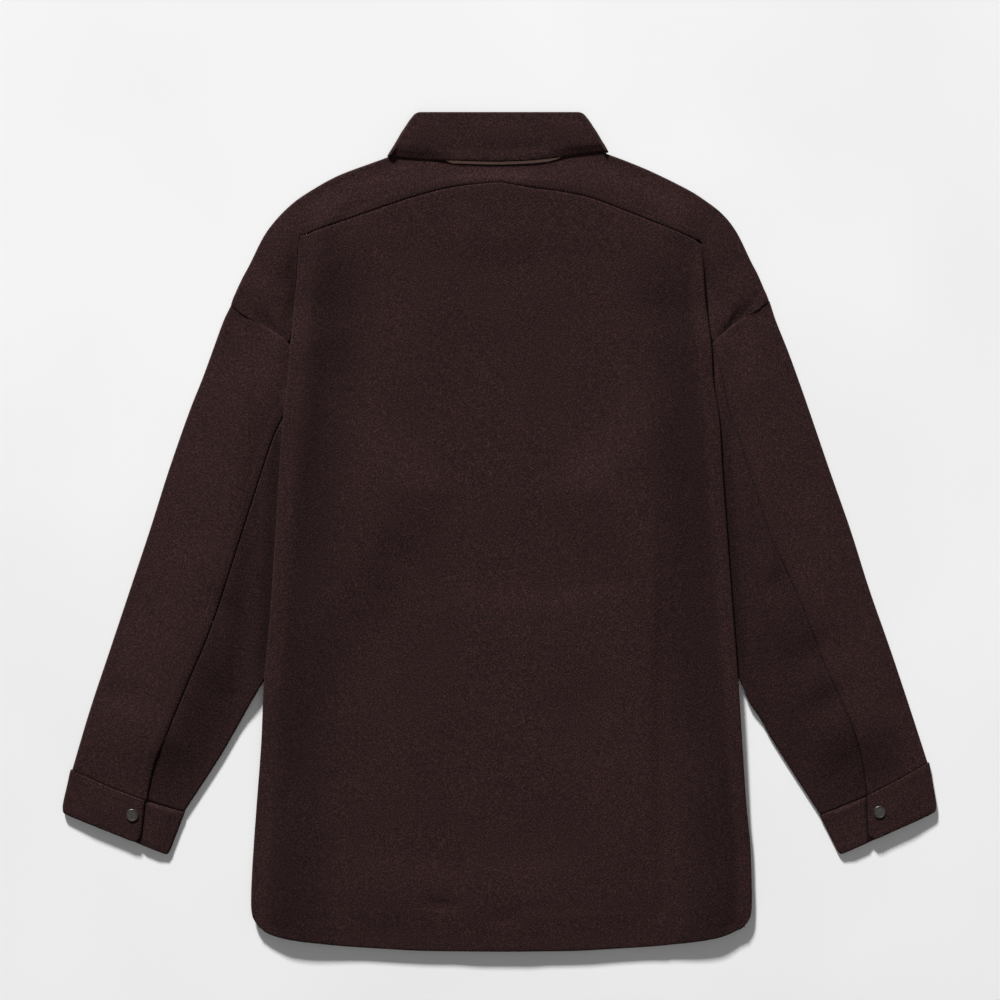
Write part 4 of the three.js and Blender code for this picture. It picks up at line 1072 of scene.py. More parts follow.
        def hem_edge(w: Array) -> Array:
            """Edge along the hem, which meets the side folds at its rounded corners."""
            across = mix(start(np.float64(1))[0], end(np.float64(1))[0], w)
            out = np.abs(across)
            left, right = start(np.float64(1)), end(np.float64(1))
            corner = np.where(across < 0, -left[0], right[0])
            short = Layers.hem(corner) - np.where(across < 0, left[1], right[1])
            return np.stack([across, Layers.hem(out) - short * smooth(out, corner - 9, corner)], axis=-1)

        flat = coons(start, end, top_edge, hem_edge)(w, t)
        lifted = self.relief(flat[..., 0], flat[..., 1]) + self.hem_step(flat[..., 0], flat[..., 1])
        middle = lift(flat, Layers.back(flat[..., 0], flat[..., 1]) + lifted)
        blocks = {}
        for side in Side:
            sign = side.value
            edge, inset = edges[side](t), insets[side](t)
            normal = curve_normal(edges[side], t, 1)
            radius = self.fold_radius(t)
            top = Layers.back(sign * inset[..., 0], inset[..., 1])
            extra = middle[0 if sign < 0 else -1][None, :, 2] - top
            fold = fold_rows(edge, normal, radius, top + extra, top - TIGHT_FOLD, half_turn)
            depth = Layers.tuck(edge[..., 1])
            knee = np.clip(Layers.reach(sign, edge[..., 1]) + 2, 0.6 * depth, depth - 1)
            flat_share = np.minimum(lying / KNEE_SHARE, 1.0)
            hanging = np.clip((lying - KNEE_SHARE) / (1 - KNEE_SHARE), 0.0, 1.0)
            inward = mix(mix(radius, knee, flat_share), depth, hanging)
            place = edge - normal * inward[..., None]
            under = Layers.back(sign * place[..., 0], place[..., 1]) - TIGHT_FOLD
            seam_height = mix(under, 2 * PLY, smooth(edge[..., 1], 395, 430))
            tucked = lift(place, mix(under, seam_height, smooth(hanging, 0, 1)))
            both = np.concatenate([fold[1:], tucked])
            both[..., 0] *= sign
            blocks[side] = both
        rows = np.concatenate([blocks[Side.LEFT][::-1], middle, blocks[Side.RIGHT]])
        looks_up = (len(rows) // 2, t.size // 2)
        cloth = Cloth("back_panel_cloth", to_world(rows), looks_up=looks_up, nap=self.nap(rows[..., 0], rows[..., 1]))
        cloth.finish({Edge.NEAR: Seam(ridge=0.1, groove=0.0), Edge.FAR: Seam(ridge=0.0, roll=0.5, groove=0.15)})
        return cloth

    @staticmethod
    def fold_radius(t: Array) -> Array:
        """Reach of the side fold in plan, which narrows to nothing where the fold meets the hem."""
        return INNER_RADIUS * np.sqrt(1.0 - smooth(t, 0.965, 1.0))

    @classmethod
    def inner_line(cls, edge: Curve) -> Curve:
        """Plan line where a side fold leaves the flat back."""
        return lambda t: edge(t) - curve_normal(edge, t, 1) * cls.fold_radius(t)[..., None]

    @staticmethod
    def fold_edge(side: Side, top_down: float) -> Curve:
        """Plan line of a side fold of the back, from 0 at the yoke to 1 at the hem."""

        def edge(t: Array) -> Array:
            """Points of the fold."""
            down = mix(top_down, Body.corner_down, t)
            return np.stack([Layers.edge(side.value, down), down], axis=-1)

        return edge

    @staticmethod
    def seam_down(across: Array) -> Array:
        """Place of the yoke seam, by the yoke's own table on each side."""
        left = through(YOKE_LEFT["seam_out"][:9], YOKE_LEFT["seam_down"][:9], -across)
        right = through(YOKE_RIGHT["seam_out"][:8], YOKE_RIGHT["seam_down"][:8], across)
        return np.where(across < 0, left, right)

    def yoke(self) -> Cloth:
        """The yoke: from its seam up over the shoulders and 30 mm down the front, with the neck cut out."""
        half = graded(300.0, 1.2, 3.0, 12.0, (False, True))[:, None]
        v = graded(70.0, 0.8, 2.4, 12.0, (True, False))[None, :]
        turn = np.linspace(0, 1, 11)[None, :]
        wrap = np.linspace(0, 1, 7)[None, 1:]
        halves = []
        for side, table in ((Side.LEFT, YOKE_LEFT), (Side.RIGHT, YOKE_RIGHT)):
            knots = np.linspace(0, 1, len(table["seam_out"]))

            def fold(s: Array, table: dict = table, knots: Array = knots) -> Array:
                """Points of the shoulder fold."""
                return np.stack(
                    [through(knots, table["fold_out"], s), through(knots, table["fold_down"], s)], axis=-1
                )

            seam = np.stack(
                [through(knots, table["seam_out"], half), through(knots, table["seam_down"], half)], axis=-1
            )
            sign = side.value
            edge, normal = fold(half), curve_normal(fold, half, 1)
            inset = edge - normal * SHOULDER_FOLD
            flat = mix(seam, inset, v[..., None])
            across = sign * flat[..., 0]
            fade = smooth(flat[..., 0], 214, 196)
            height = Layers.yoke(sign, flat[..., 0], flat[..., 1]) + fade * self.relief(across, flat[..., 1])
            place_on_edge = half * (len(knots) - 1)
            cap = smooth(place_on_edge, 7.0, 9.0) * smooth(place_on_edge, 12.0, 10.0)
            height = height + cap * self.lobe_loft * np.sin(np.pi * v) ** 0.8
            height = height + cap * sum(crease.relief(across, flat[..., 1]) for crease in self.cap_creases)
            top, bottom = height[:, -1:], Layers.front(inset[..., 0], inset[..., 1])
            rounded = fold_rows(edge, normal, SHOULDER_FOLD, top, bottom, turn)[:, 1:]
            place = edge - normal * mix(SHOULDER_FOLD, YOKE_WRAP, wrap)[..., None]
            turned = lift(place, Layers.front(place[..., 0], place[..., 1]))
            both = np.concatenate([lift(flat, height), rounded, turned], axis=1)
            both[..., 0] *= sign
            halves.append(both)
        points = np.concatenate([halves[0][::-1], halves[1][1:]])
        cloth = Cloth("back_yoke_cloth", to_world(points), looks_up=(len(half), 3))
        section = np.abs(np.concatenate([half[::-1], half[1:]])) * (len(YOKE_LEFT["seam_out"]) - 1)
        slit = smooth(section, 6.4, 7.4)
        sunk = smooth(section, 7.1, 8.5) * smooth(section, 13, 10.5)
        hollow = self.hollow * sunk * (1.0 - smooth(cloth.reach(Edge.NEAR), 3, 30))
        cloth.face[..., 2] -= hollow * smooth(cloth.normals()[..., 2], 0.0, 0.5)
        cloth.finish({Edge.NEAR: Seam()}, 1.0 - slit)
        cloth.finish({Edge.START: Seam(), Edge.END: Seam()})
        for edge in (Edge.START, Edge.END):
            cloth.extend(edge, 1.8)
        middle = (points[:-1, :-1] + points[1:, 1:]) / 2
        out, down = np.abs(middle[..., 0]), middle[..., 1]
        under = np.arange(middle.shape[1])[None, :] >= v.size + 4
        neck = (out < NECK_HALF) & (down < NECK_DOWN)
        share = np.clip(out / NECK_HALF, 0, 1)
        line = NECK_DOWN + NECK_SLACK + NECK_DROP * (1 - share**2)
        cloth.kept = ~(neck | (under & (out < NECK_HALF - 1.3) & (down < line)))
        return cloth


@dataclass
class Sleeve:
    """One sleeve: its outer part and the part by the underarm, joined at the back seam."""

    side: Side
    armhole: dict[str, Sequence[float]]
    outer_fold: dict[str, Sequence[float]]
    inner_fold: dict[str, Sequence[float]]
    back_seam: dict[str, Sequence[float]]
    wrist: "Cuff"
    creases: tuple[Crease, ...]
    crown: float = 2.6
    seam_lift: float = 8.0
    armhole_step: float = 0.8
    wrist_rise: float = 0.9
    painted_shade: float = 0.16
    hollow_shade: float = 0.3
    slit_shade: float = 0.6

    def __post_init__(self) -> None:
        """Works out the plan curves that both parts share."""
        self.outer = table_curve(self.outer_fold)
        self.inner = table_curve(self.inner_fold)
        self.outer_inset = offset_curve(self.outer, 1, -OUTER_RADIUS)
        self.inner_inset = offset_curve(self.inner, -1, -INNER_RADIUS)
        self.seam = table_curve(self.back_seam)
        rows = table_points(self.armhole)
        at_seam = int(np.argmin(np.linalg.norm(rows - self.seam(np.float64(0)), axis=1)))
        zero = np.float64(0)
        self.to_shoulder = np.vstack([rows[1 : at_seam + 1][::-1], self.outer_inset(zero)])
        self.to_underarm = np.vstack([rows[at_seam:-1], self.inner_inset(zero)])
        self.whole_armhole = np.vstack([self.inner_inset(zero), rows[1:-1][::-1], self.outer_inset(zero)])

    def end(self, start: Array, stop: Array) -> Curve:
        """End of the sleeve along the top edge of the cuff, from one plan point to another."""

        def edge(w: Array) -> Array:
            """Points of the end: the cuff's bowed edge, fitted to both points."""
            out = mix(start[0], stop[0], w)
            fit = mix(start[1] - self.wrist.top_edge(start[0]), stop[1] - self.wrist.top_edge(stop[0]), w)
            return np.stack([out, self.wrist.top_edge(out) + fit], axis=-1)

        return edge

    def outer_face(self, place: Array, t: Array) -> Array:
        """Height of the outer face: the layers' own, with loft near the shoulder and the cuff."""
        shoulder = 1.0 - smooth(t, 0, 0.12)
        layers = Layers.sleeve(self.side.value, place[..., 0], place[..., 1], shoulder)
        return layers + self.wrist_rise * smooth(t, 0.85, 1) - self.armhole_step * (1.0 - smooth(t, 0, 0.06))

    def valley(self, place: Array) -> Array:
        """Share of the sleeve's fullness: none where it goes in under the body, all of it 45 mm out."""
        return smooth(place[..., 0] - Layers.edge(self.side.value, place[..., 1]), -2, 45)

    def nap(self, cloth: Cloth, t: Array) -> Array:
        """Painted shadow: the colour darkens in the narrow hollow where the sleeve goes in under the body and the
        body's fold shades it.
        """
        out, down = np.abs(cloth.face[..., 0]), LENGTH / 2 - cloth.face[..., 1]
        beyond = out - Layers.edge(self.side.value, down)
        return 1.0 - self.hollow_shade * smooth(t, 0.06, 0.2) * smooth(beyond, 16, 3) * smooth(down, 590, 540)

    def slack(self, place: Array, across: Array) -> Array:
        """Creases of the sleeve, fading out at its folds; across is 0 at a fold."""
        total = sum(crease.relief(place[..., 0], place[..., 1]) for crease in self.creases)
        return total * smooth(across, 0, 0.3)

    def below(self) -> Patch:
        """Plan patch of the cloth on the table side."""
        one = np.float64(1)
        ends = self.end(self.inner_inset(one), self.outer_inset(one))
        return coons(self.inner_inset, self.outer_inset, plan_curve(self.whole_armhole), ends)

    def grids(self) -> tuple[Array, Array, Array, Array]:
        """Row of t, and columns of the face, the fold's half turn, and the share below."""
        t = graded(500.0, 1.0, 3.0, 11.0)[None, :]
        w = graded(110.0, 0.9, 2.8, 12.0, (True, False))[:, None]
        return t, w, np.linspace(0, 1, 11)[1:, None], np.linspace(0, 1, 9)[1:, None]

    def turned(self, edge: Curve, turn: int, inset: Curve, radius: float, side_rows: Array, share: tuple) -> Array:
        """The fold and the cloth below it, which follow on from the outer face.

        Args:
            edge: plan line of the fold.
            turn: side to which its normal points out.
            inset: its inner line.
            radius: its radius in plan.
            side_rows: the outer face's last row.
            share: start and end of the share across the table side.

        Returns:
            Points (out, down, height).
        """
        t, _, half_turn, lying = self.grids()
        base = inset(t)
        bottom = Layers.sleeve_under(self.side.value, base[..., 0], base[..., 1])
        fold = fold_rows(edge(t), curve_normal(edge, t, turn), radius, side_rows[None, :, 2], bottom, half_turn)
        place = self.below()(mix(share[0], share[1], lying), t)
        under = lift(place, Layers.sleeve_under(self.side.value, place[..., 0], place[..., 1]))
        return np.concatenate([fold, under])

    def upper(self) -> Cloth:
        """The outer part: from the back seam over the outer fold and in to the front seam."""
        t, w, _, _ = self.grids()
        seam = offset_curve(self.seam, -1, -SEAM_GAP / 2)
        zero, one = np.float64(0), np.float64(1)
        spread = plan_curve(self.to_shoulder)(np.linspace(0, 1, 6)[1:-1])
        near = plan_curve(np.vstack([seam(zero), spread, self.outer_inset(zero)]))
        place = coons(seam, self.outer_inset, near, self.end(seam(one), self.outer_inset(one)))(w, t)
        slit = SLIT_RISE * smooth(t, 0.84, 0.9) * (1.0 - smooth(w, 0.1, 0.5))
        arch = self.crown * np.sin(np.pi * np.clip(w, 0, 1)) ** 0.8 + self.seam_lift * (1.0 - smooth(w, 0, 1))
        rows = smooth(t, 0.0, 0.14) * (1.0 - smooth(t, 0.84, 1.0))
        height = self.outer_face(place, t) + slit + (arch + self.slack(place, 1.0 - w)) * rows * self.valley(place)
        flat = lift(place, height)
        rest = self.turned(self.outer, 1, self.outer_inset, OUTER_RADIUS, flat[-1], (1.0, FRONT_SEAM_SHARE + 0.001))
        points = to_world(np.concatenate([flat, rest]), self.side.value)
        cloth = Cloth(f"sleeve_upper_cloth_{self.side.word}", points, looks_up=(w.size // 2, t.size // 2))
        cloth.nap = self.nap(cloth, t)
        armhole = Seam(roll=0.0, ridge=0.0, groove=0.0)
        cloth.finish({Edge.START: Seam(), Edge.NEAR: armhole, Edge.FAR: Seam(roll=0.3, ridge=0.0, groove=0.0)})
        cloth.extend(Edge.NEAR, 2.0)
        cloth.extend(Edge.FAR, 1.5)
        return cloth

    def under(self) -> Cloth:
        """The part by the underarm: from the back seam over the inner fold and out to the front seam."""
        t, w, _, _ = self.grids()
        lean = np.array(self.wrist.lean)

        def seam(t: Array) -> Array:
            """The seam's edge, which laps under the outer part along the slit."""
            beside = self.seam(t) + curve_normal(self.seam, t, -1) * (SEAM_GAP / 2)
            return beside + lean * (SLIT_LAP * smooth(t, 0.84, 0.9))[..., None]

        zero, one = np.float64(0), np.float64(1)
        spread = plan_curve(self.to_underarm)(np.linspace(0, 1, 6)[1:-1])
        near = plan_curve(np.vstack([seam(zero), spread, self.inner_inset(zero)]))
        place = coons(seam, self.inner_inset, near, self.end(seam(one), self.inner_inset(one)))(w, t)
        slit = (SLIT_STEP - SLIT_RISE) * smooth(t, 0.84, 0.9) * (1.0 - smooth(w, 0.25, 0.7))
        slit = slit + self.wrist_rise * smooth(t, 0.85, 1) * smooth(w, 0.2, 0.7)
        arch = self.seam_lift * (1.0 - smooth(w, 0, 1))
        rows = smooth(t, 0.0, 0.14) * (1.0 - smooth(t, 0.84, 1.0))
        height = self.outer_face(place, t) - slit + (arch + self.slack(place, 1.0 - w)) * rows * self.valley(place)
        flat = lift(place, height)
        rest = self.turned(self.inner, -1, self.inner_inset, INNER_RADIUS, flat[-1], (0.0, FRONT_SEAM_SHARE - 0.001))
        points = to_world(np.concatenate([flat, rest]), self.side.value)
        cloth = Cloth(f"sleeve_under_cloth_{self.side.word}", points, looks_up=(w.size // 2, t.size // 2))
        edges = {Edge.START: Seam(roll=1.2, ridge=0.1, groove=0.0), Edge.NEAR: Seam(roll=0.0, ridge=0.0, groove=0.0)}
        cloth.finish({**edges, Edge.FAR: Seam(roll=0.3, ridge=0.0, groove=0.0)})
        # Painted shade: the under part darkens away from the armhole, where it slopes from the light, and a dark line
        # runs beside the outer part's edge along the slit.
        beyond_lap = cloth.reach(Edge.START) - SLIT_LAP * smooth(t, 0.84, 0.9)
        slit_painted_shade = self.slit_shade * smooth(beyond_lap, 3.5, 0.5) * smooth(t, 0.8, 0.87)
        cloth.nap = self.nap(cloth, t) - self.painted_shade * smooth(t, 0.1, 0.4) - slit_painted_shade
        cloth.extend(Edge.NEAR, 2.0)
        cloth.extend(Edge.FAR, 1.5)
        return cloth


@dataclass
class Cuff:
    """One cuff: a band from its tab over the outer fold, under the wrist, and in below the tab."""

    side: Side
    sleeve_outer: tuple[float, float]
    sleeve_inner: tuple[float, float]
    hem_outer: tuple[float, float]
    hem_inner: tuple[float, float]
    tab_share: tuple[float, float]
    snap: tuple[float, float]
    lap_share: float = 0.12
    radius: float = 2.8
    bow: float = 3.2
    corner: float = 10.0
    height: float = 42.0
    lean: tuple[float, float] = (0.91, -0.41)
    loft: float = 0.9
    lap_swell: float = 1.2
    tab_shade: float = 0.62

    def rise(self, share: Array) -> Array:
        """Bow of the cuff's top edge, a parabola over its width."""
        return 4.0 * self.bow * share * (1.0 - share)

    def top_edge(self, out: Array) -> Array:
        """Place of the sleeve's end over the cuff's top edge."""
        share = (out - self.sleeve_inner[0]) / (self.sleeve_outer[0] - self.sleeve_inner[0])
        return mix(self.sleeve_inner[1], self.sleeve_outer[1], share) + self.rise(share) - 2 * SEAM_GAP

    def band(self) -> Cloth:
        """The band as one wall of doubled cloth."""
        inner_side = [self.sleeve_inner, mix(np.array(self.sleeve_inner), np.array(self.hem_inner), 0.5), self.hem_inner]
        outer_side = [self.sleeve_outer, mix(np.array(self.sleeve_outer), np.array(self.hem_outer), 0.5), self.hem_outer]
        inner, outer = plan_curve(inner_side), plan_curve(outer_side)
        inner_inset = offset_curve(inner, -1, -self.radius)
        outer_inset = offset_curve(outer, 1, -self.radius)
        t = mix(0.012, 1.0, graded(self.height, 0.8, 1.6, 8.0))[None, :]
        w = graded(80.0, 0.8, 2.0, 9.0, (True, False))[:, None]
        half_turn, lying = np.linspace(0, 1, 11)[1:, None], np.linspace(0, 1, 12)[1:, None]

        def place(share: Array, t: Array) -> Array:
            """Plan points between the two side folds, bowed at the top."""
            straight = mix(inner_inset(t), outer_inset(t), share[..., None])
            return straight + (self.rise(share) * (1.0 - t))[..., None] * np.array([0.0, 1.0])

        turn = np.clip((t - 1.0) * self.height / self.corner + 1.0, 0.0, 1.0)
        rounded = self.corner * (1.0 - np.sqrt(1.0 - turn**2)) / 118.0
        tab = mix(self.tab_share[0], self.tab_share[1], t)
        share = mix(tab + rounded, 1.0, w)
        top = mix(CUFF_TOP, CUFF_EDGE_TOP, smooth(share, 0.7, 1))
        top = top + self.loft * np.sin(np.pi * w) * np.sin(np.pi * t)
        face = lift(place(share, t), top)
        outer_normal = curve_normal(outer, t, 1)
        over = fold_rows(outer(t), outer_normal, self.radius, np.float64(CUFF_EDGE_TOP), np.float64(0), half_turn)
        below = lift(place(1.0 - lying, t), 0.0)
        lap_level = 2 * CUFF_CLOTH + AIR
        inner_normal = curve_normal(inner, t, -1)
        back = fold_rows(inner(t), inner_normal, self.radius, np.float64(0), np.float64(lap_level), half_turn)
        beside_tab = tab / (tab + self.lap_share)
        lap_rows = np.linspace(0, 1, 41)[1:, None]
        beside = lap_rows - beside_tab
        swell = self.lap_swell * smooth(lap_rows, 0.0, 0.3) * smooth(beside, 0.04, -0.08) * smooth(t, 0.0, 0.1)
        lap = lift(place(mix(0.0, tab + self.lap_share, lap_rows), t), lap_level + swell)
        points = np.concatenate([face, over, below, back, lap])
        for corner, cut, width in ((self.hem_outer, 2.6, 13.0), (self.hem_inner, 1.4, 8.0)):
            self.round_corner(points, np.array(corner), cut, width)
        points = to_world(points, self.side.value)
        cloth = Cloth(f"cuff_cloth_{self.side.word}", points, CUFF_CLOTH, (w.size // 2, t.size // 2))
        # Painted shade: the lap darkens in a narrow band beside the tab's edge, where the tab shades it.
        cloth.nap = np.ones(points.shape[:2])
        cloth.nap[-len(lap_rows) :] = 1.0 - self.tab_shade * np.exp(-(((beside + 0.01) / 0.045) ** 2))
        seam = Seam(roll=0.5, ridge=0.2, allowance=6.5)
        cloth.finish({Edge.START: Seam(roll=0.9, ridge=0.2, allowance=6.5), Edge.NEAR: seam, Edge.FAR: seam})
        return cloth

    def round_corner(self, points: Array, corner: Array, cut: float, width: float) -> None:
        """Draws the points round a hem corner in towards the band's middle, fading as a square with distance."""
        middle = (np.array(self.sleeve_outer) + np.array(self.hem_inner)) / 2
        inward = (middle - corner) / np.linalg.norm(middle - corner)
        gap = np.linalg.norm(points[..., :2] - corner, axis=-1)
        points[..., :2] += (cut * np.clip(1.0 - gap / width, 0, 1) ** 2)[..., None] * inward

    def cap(self) -> bpy.types.Object:
        """The snap's cap: a turned profile with a rolled rim and a shallow dish, on the tab."""
        profile = np.array(
            [
                (0.0, 0.0), (5.6, 0.0), (6.05, 0.12), (6.25, 0.5), (6.2, 0.95), (5.9, 1.3), (5.5, 1.42),
                (5.05, 1.4), (4.75, 1.22), (4.4, 1.12), (3.0, 1.2), (1.5, 1.26), (0.0, 1.28),
            ]
        )
        middle = np.array([self.side.value * self.snap[0], LENGTH / 2 - self.snap[1], CUFF_TOP + SEAM_GAP])
        return turned_piece(f"cuff_snap_cap_{self.side.word}", profile, middle, GUNMETAL)


def turned_piece(name: str, profile: Array, middle: Array, finish: Finish, sides: int = 48) -> bpy.types.Object:
    """A piece turned about an upright axis, with its poles closed by one fan of narrow faces.

    Args:
        name: the piece's name.
        profile: rows of radius and height, from the bottom pole to the top pole.
        middle: place of the axis and of height 0.
        finish: its finish.
        sides: faces around.

    Returns:
        The finished piece.
    """
    angle = np.arange(sides) * 2 * np.pi / sides
    radius, height = profile[1:-1, 0], profile[1:-1, 1]
    ring = np.stack([np.cos(angle), np.sin(angle)], axis=-1)
    wall = np.concatenate([radius[:, None, None] * ring, np.broadcast_to(height[:, None, None], (len(radius), sides, 1))], axis=-1)
    poles = np.array([(0.0, 0.0, profile[0, 1]), (0.0, 0.0, profile[-1, 1])])
    points = np.concatenate([wall.reshape(-1, 3), poles]) + middle
    index = np.arange(len(radius) * sides).reshape(len(radius), sides)
    after = np.roll(index, -1, axis=1)
    around = np.stack([index[:-1], after[:-1], after[1:], index[1:]], axis=-1).reshape(-1, 4)
    low, high = np.full(sides // 2, points.shape[0] - 2), np.full(sides // 2, points.shape[0] - 1)
    first, last = index[0], index[-1]
    under = np.stack([low, np.roll(first, -2)[::2], np.roll(first, -1)[::2], first[::2]], axis=-1)
    over = np.stack([high, last[::2], np.roll(last, -1)[::2], np.roll(last, -2)[::2]], axis=-1)
    return make_piece(name, points, np.concatenate([around, under, over]), finish)


@dataclass
class Collar:
    """The collar: the outer cloth with its fall and front leaves, the under collar, and the stand."""

    height: float = 9.6
    roll: float = 2.2
    cap: float = 3.4
    side_end: float = 44.0
    side_out: float = 112.0
    leaf_point: tuple[float, float] = (52.0, 100.0)
    leaf_start: float = 14.0
    peek: float = 2.3
    droop: float = 2.6
    under_inset: float = 7.5
    stand_inset: float = 5.6
    stand_top: float = 2.7
    stand_height: float = 35.0
    stand_drop: float = 1.5
    creases: tuple[Crease, ...] = (
        Crease(((-46, 8), (-38, 26), (-34, 44)), (0.3, 0.7, 0.1), 8, 16),
        Crease(((38, 6), (44, 24), (40, 40)), (0.2, 0.7, 0.2), 14, 8),
        Crease(((-90, 34), (-50, 38), (0, 39), (50, 36), (90, 30)), (0.1, 0.5, 0.6, 0.5, 0.1), 7, 7),
    )

    @staticmethod
    def side(down: Array) -> Array:
        """Place of the side folds."""
        return through(COLLAR_SIDE["down"], COLLAR_SIDE["out"], down)

    @staticmethod
    def fall_edge(across: Array) -> Array:
        """Free edge of the fall."""
        return through(FALL_EDGE["across"], FALL_EDGE["down"], across)

    def sag(self, across: Array, rows: Array) -> Array:
        """How far the fall sinks to the yoke at its sides, along its free edge."""
        return self.droop * smooth(np.abs(across), 36, 74) * smooth(rows, 0.7, 1.0)

    @staticmethod
    def front_drop(share: Array) -> Array:
        """Drop of the top fold from the side, at 0, to the middle of the front, at 1: a parabola."""
        return NECK_DROP * (1.0 - (1.0 - share) ** 2)

    def upper(self) -> Cloth:
        """The outer cloth: a cap inside the roll, the roll at the top, then the fall and the leaves."""
        radius = self.height / 2
        half = np.concatenate([graded(84.0, 1.0, 2.4, 4.0, (False, False)), np.linspace(1, 2, 15)[1:], np.linspace(2, 3, 24)[1:]])
        u = np.concatenate([-half[::-1], half[1:]])[:, None]
        fall = 1.0 + graded(50.0, 0.8, 2.0, 9.0, (False, True))
        v = np.concatenate([[-1.0, -0.5], np.linspace(0, 1, 8), fall[1:]])[None, :]
        sign, s = np.where(u < 0, -1, 1), np.abs(u)
        roll, capped = np.clip(1 - v, 0, 1), np.clip(-v, 0, 1)
        angle = roll * (np.pi / 2)
        sunk = self.roll * (1 - np.cos(angle)) + capped * (self.cap - self.roll)
        lead = self.roll * (1 - np.sin(angle))
        rows, around = np.clip(v - 1, 0, 1), np.clip(s - 1, 0, 1)
        front, back = np.clip(s - 2, 0, 1), np.clip(s, 0, 1)
        side_down = self.fall_edge(sign * self.side_out)
        full_top, full_low = self.side(self.roll) - radius, self.side(self.side_end) - radius
        low = np.where(s < 1, self.fall_edge(sign * back * full_low), mix(side_down, self.leaf_point[1], front))
        down = mix(self.front_drop(front * (1 - self.leaf_start / full_top)) + lead, low, rows)
        full = full_top + self.side(mix(lead, side_down, rows)) - self.side(self.roll)
        end_out = mix(self.leaf_start, self.leaf_point[0], rows)
        flat = np.where(s < 1, full * back, mix(full, end_out, front))
        out = flat + (radius - sunk) * np.sin(around * np.pi)
        level = radius + (radius - sunk) * np.cos(around * np.pi)
        shape = np.stack(np.broadcast_arrays(sign * out, down, level), axis=-1)
        slack = sum(crease.relief(shape[..., 0], shape[..., 1]) for crease in self.creases)
        shape[..., 2] -= self.sag(shape[..., 0], rows) * (s <= 1.0)
        window = smooth(s, 1.0, 0.85) * smooth(v, 0.9, 1.3)
        billow = 0.9 * np.sin(np.pi * np.clip(rows, 0, 1)) ** 0.7
        shape[..., 2] += window * (billow + slack)
        cloth = Cloth("collar_upper_cloth", to_world(shape), looks_up=(len(u) // 2, v.size // 2))
        cloth.finish({Edge.END: Seam(), Edge.START: Seam(), Edge.FAR: Seam(roll=0.6, ridge=0.3)})
        return cloth

    def under(self) -> Cloth:
        """The under collar, whose lower edge peeks out below the fall where the photograph shows it."""
        u = np.linspace(-1, 1, 90)[:, None]
        v = graded(48.0, 0.5, 2.4, 5.0, (False, True))[None, :]
        edge_at = u * (self.side(self.side_end) - self.under_inset)
        shown = smooth(edge_at, -74, -46) * smooth(edge_at, 108, 76)
        down = mix(self.stand_top, self.fall_edge(edge_at) + mix(-7.0, self.peek, shown), v)
        across = u * (self.side(down) - self.under_inset)
        level = self.height - PLY - self.sag(across, v)
        points = to_world(np.stack(np.broadcast_arrays(across, down, level), axis=-1))
        cloth = Cloth("collar_under_cloth", points, looks_up=(45, 5))
        cloth.finish({Edge.FAR: Seam(roll=0.5, ridge=0.0, groove=0.0)})
        return cloth

    def stand(self) -> Cloth:
        """The stand: across the back, round both side folds and forward to the middle of the front."""
        top = self.height - 2 * PLY
        bottom = top - TIGHT_FOLD
        half = np.concatenate([np.linspace(0, 1, 30), np.linspace(1, 2, 11)[1:], np.linspace(2, 3, 26)[1:]])
        u = np.concatenate([-half[::-1], half[1:]])[:, None]
        v = np.linspace(0, 1, 14)[None, :]
        sign, s = np.where(u < 0, -1, 1), np.abs(u)
        level = self.stand_top + v * self.stand_height
        reach = self.side(level) - self.stand_inset - INNER_RADIUS
        around, front = np.clip(s - 1, 0, 1), np.clip(s - 2, 0, 1)
        out = np.where(s <= 1, s * reach, mix(reach, AIR, front)) + INNER_RADIUS * np.sin(around * np.pi)
        height = (top + bottom) / 2 + (top - bottom) / 2 * np.cos(around * np.pi)
        drop = np.where(s > 2, self.front_drop(front) + self.stand_drop * smooth(s, 2, 2.3), 0.0)
        points = to_world(np.stack(np.broadcast_arrays(sign * out, level + drop, height), axis=-1))
        return Cloth("collar_stand_cloth", points, looks_up=(len(u) // 2, 7))


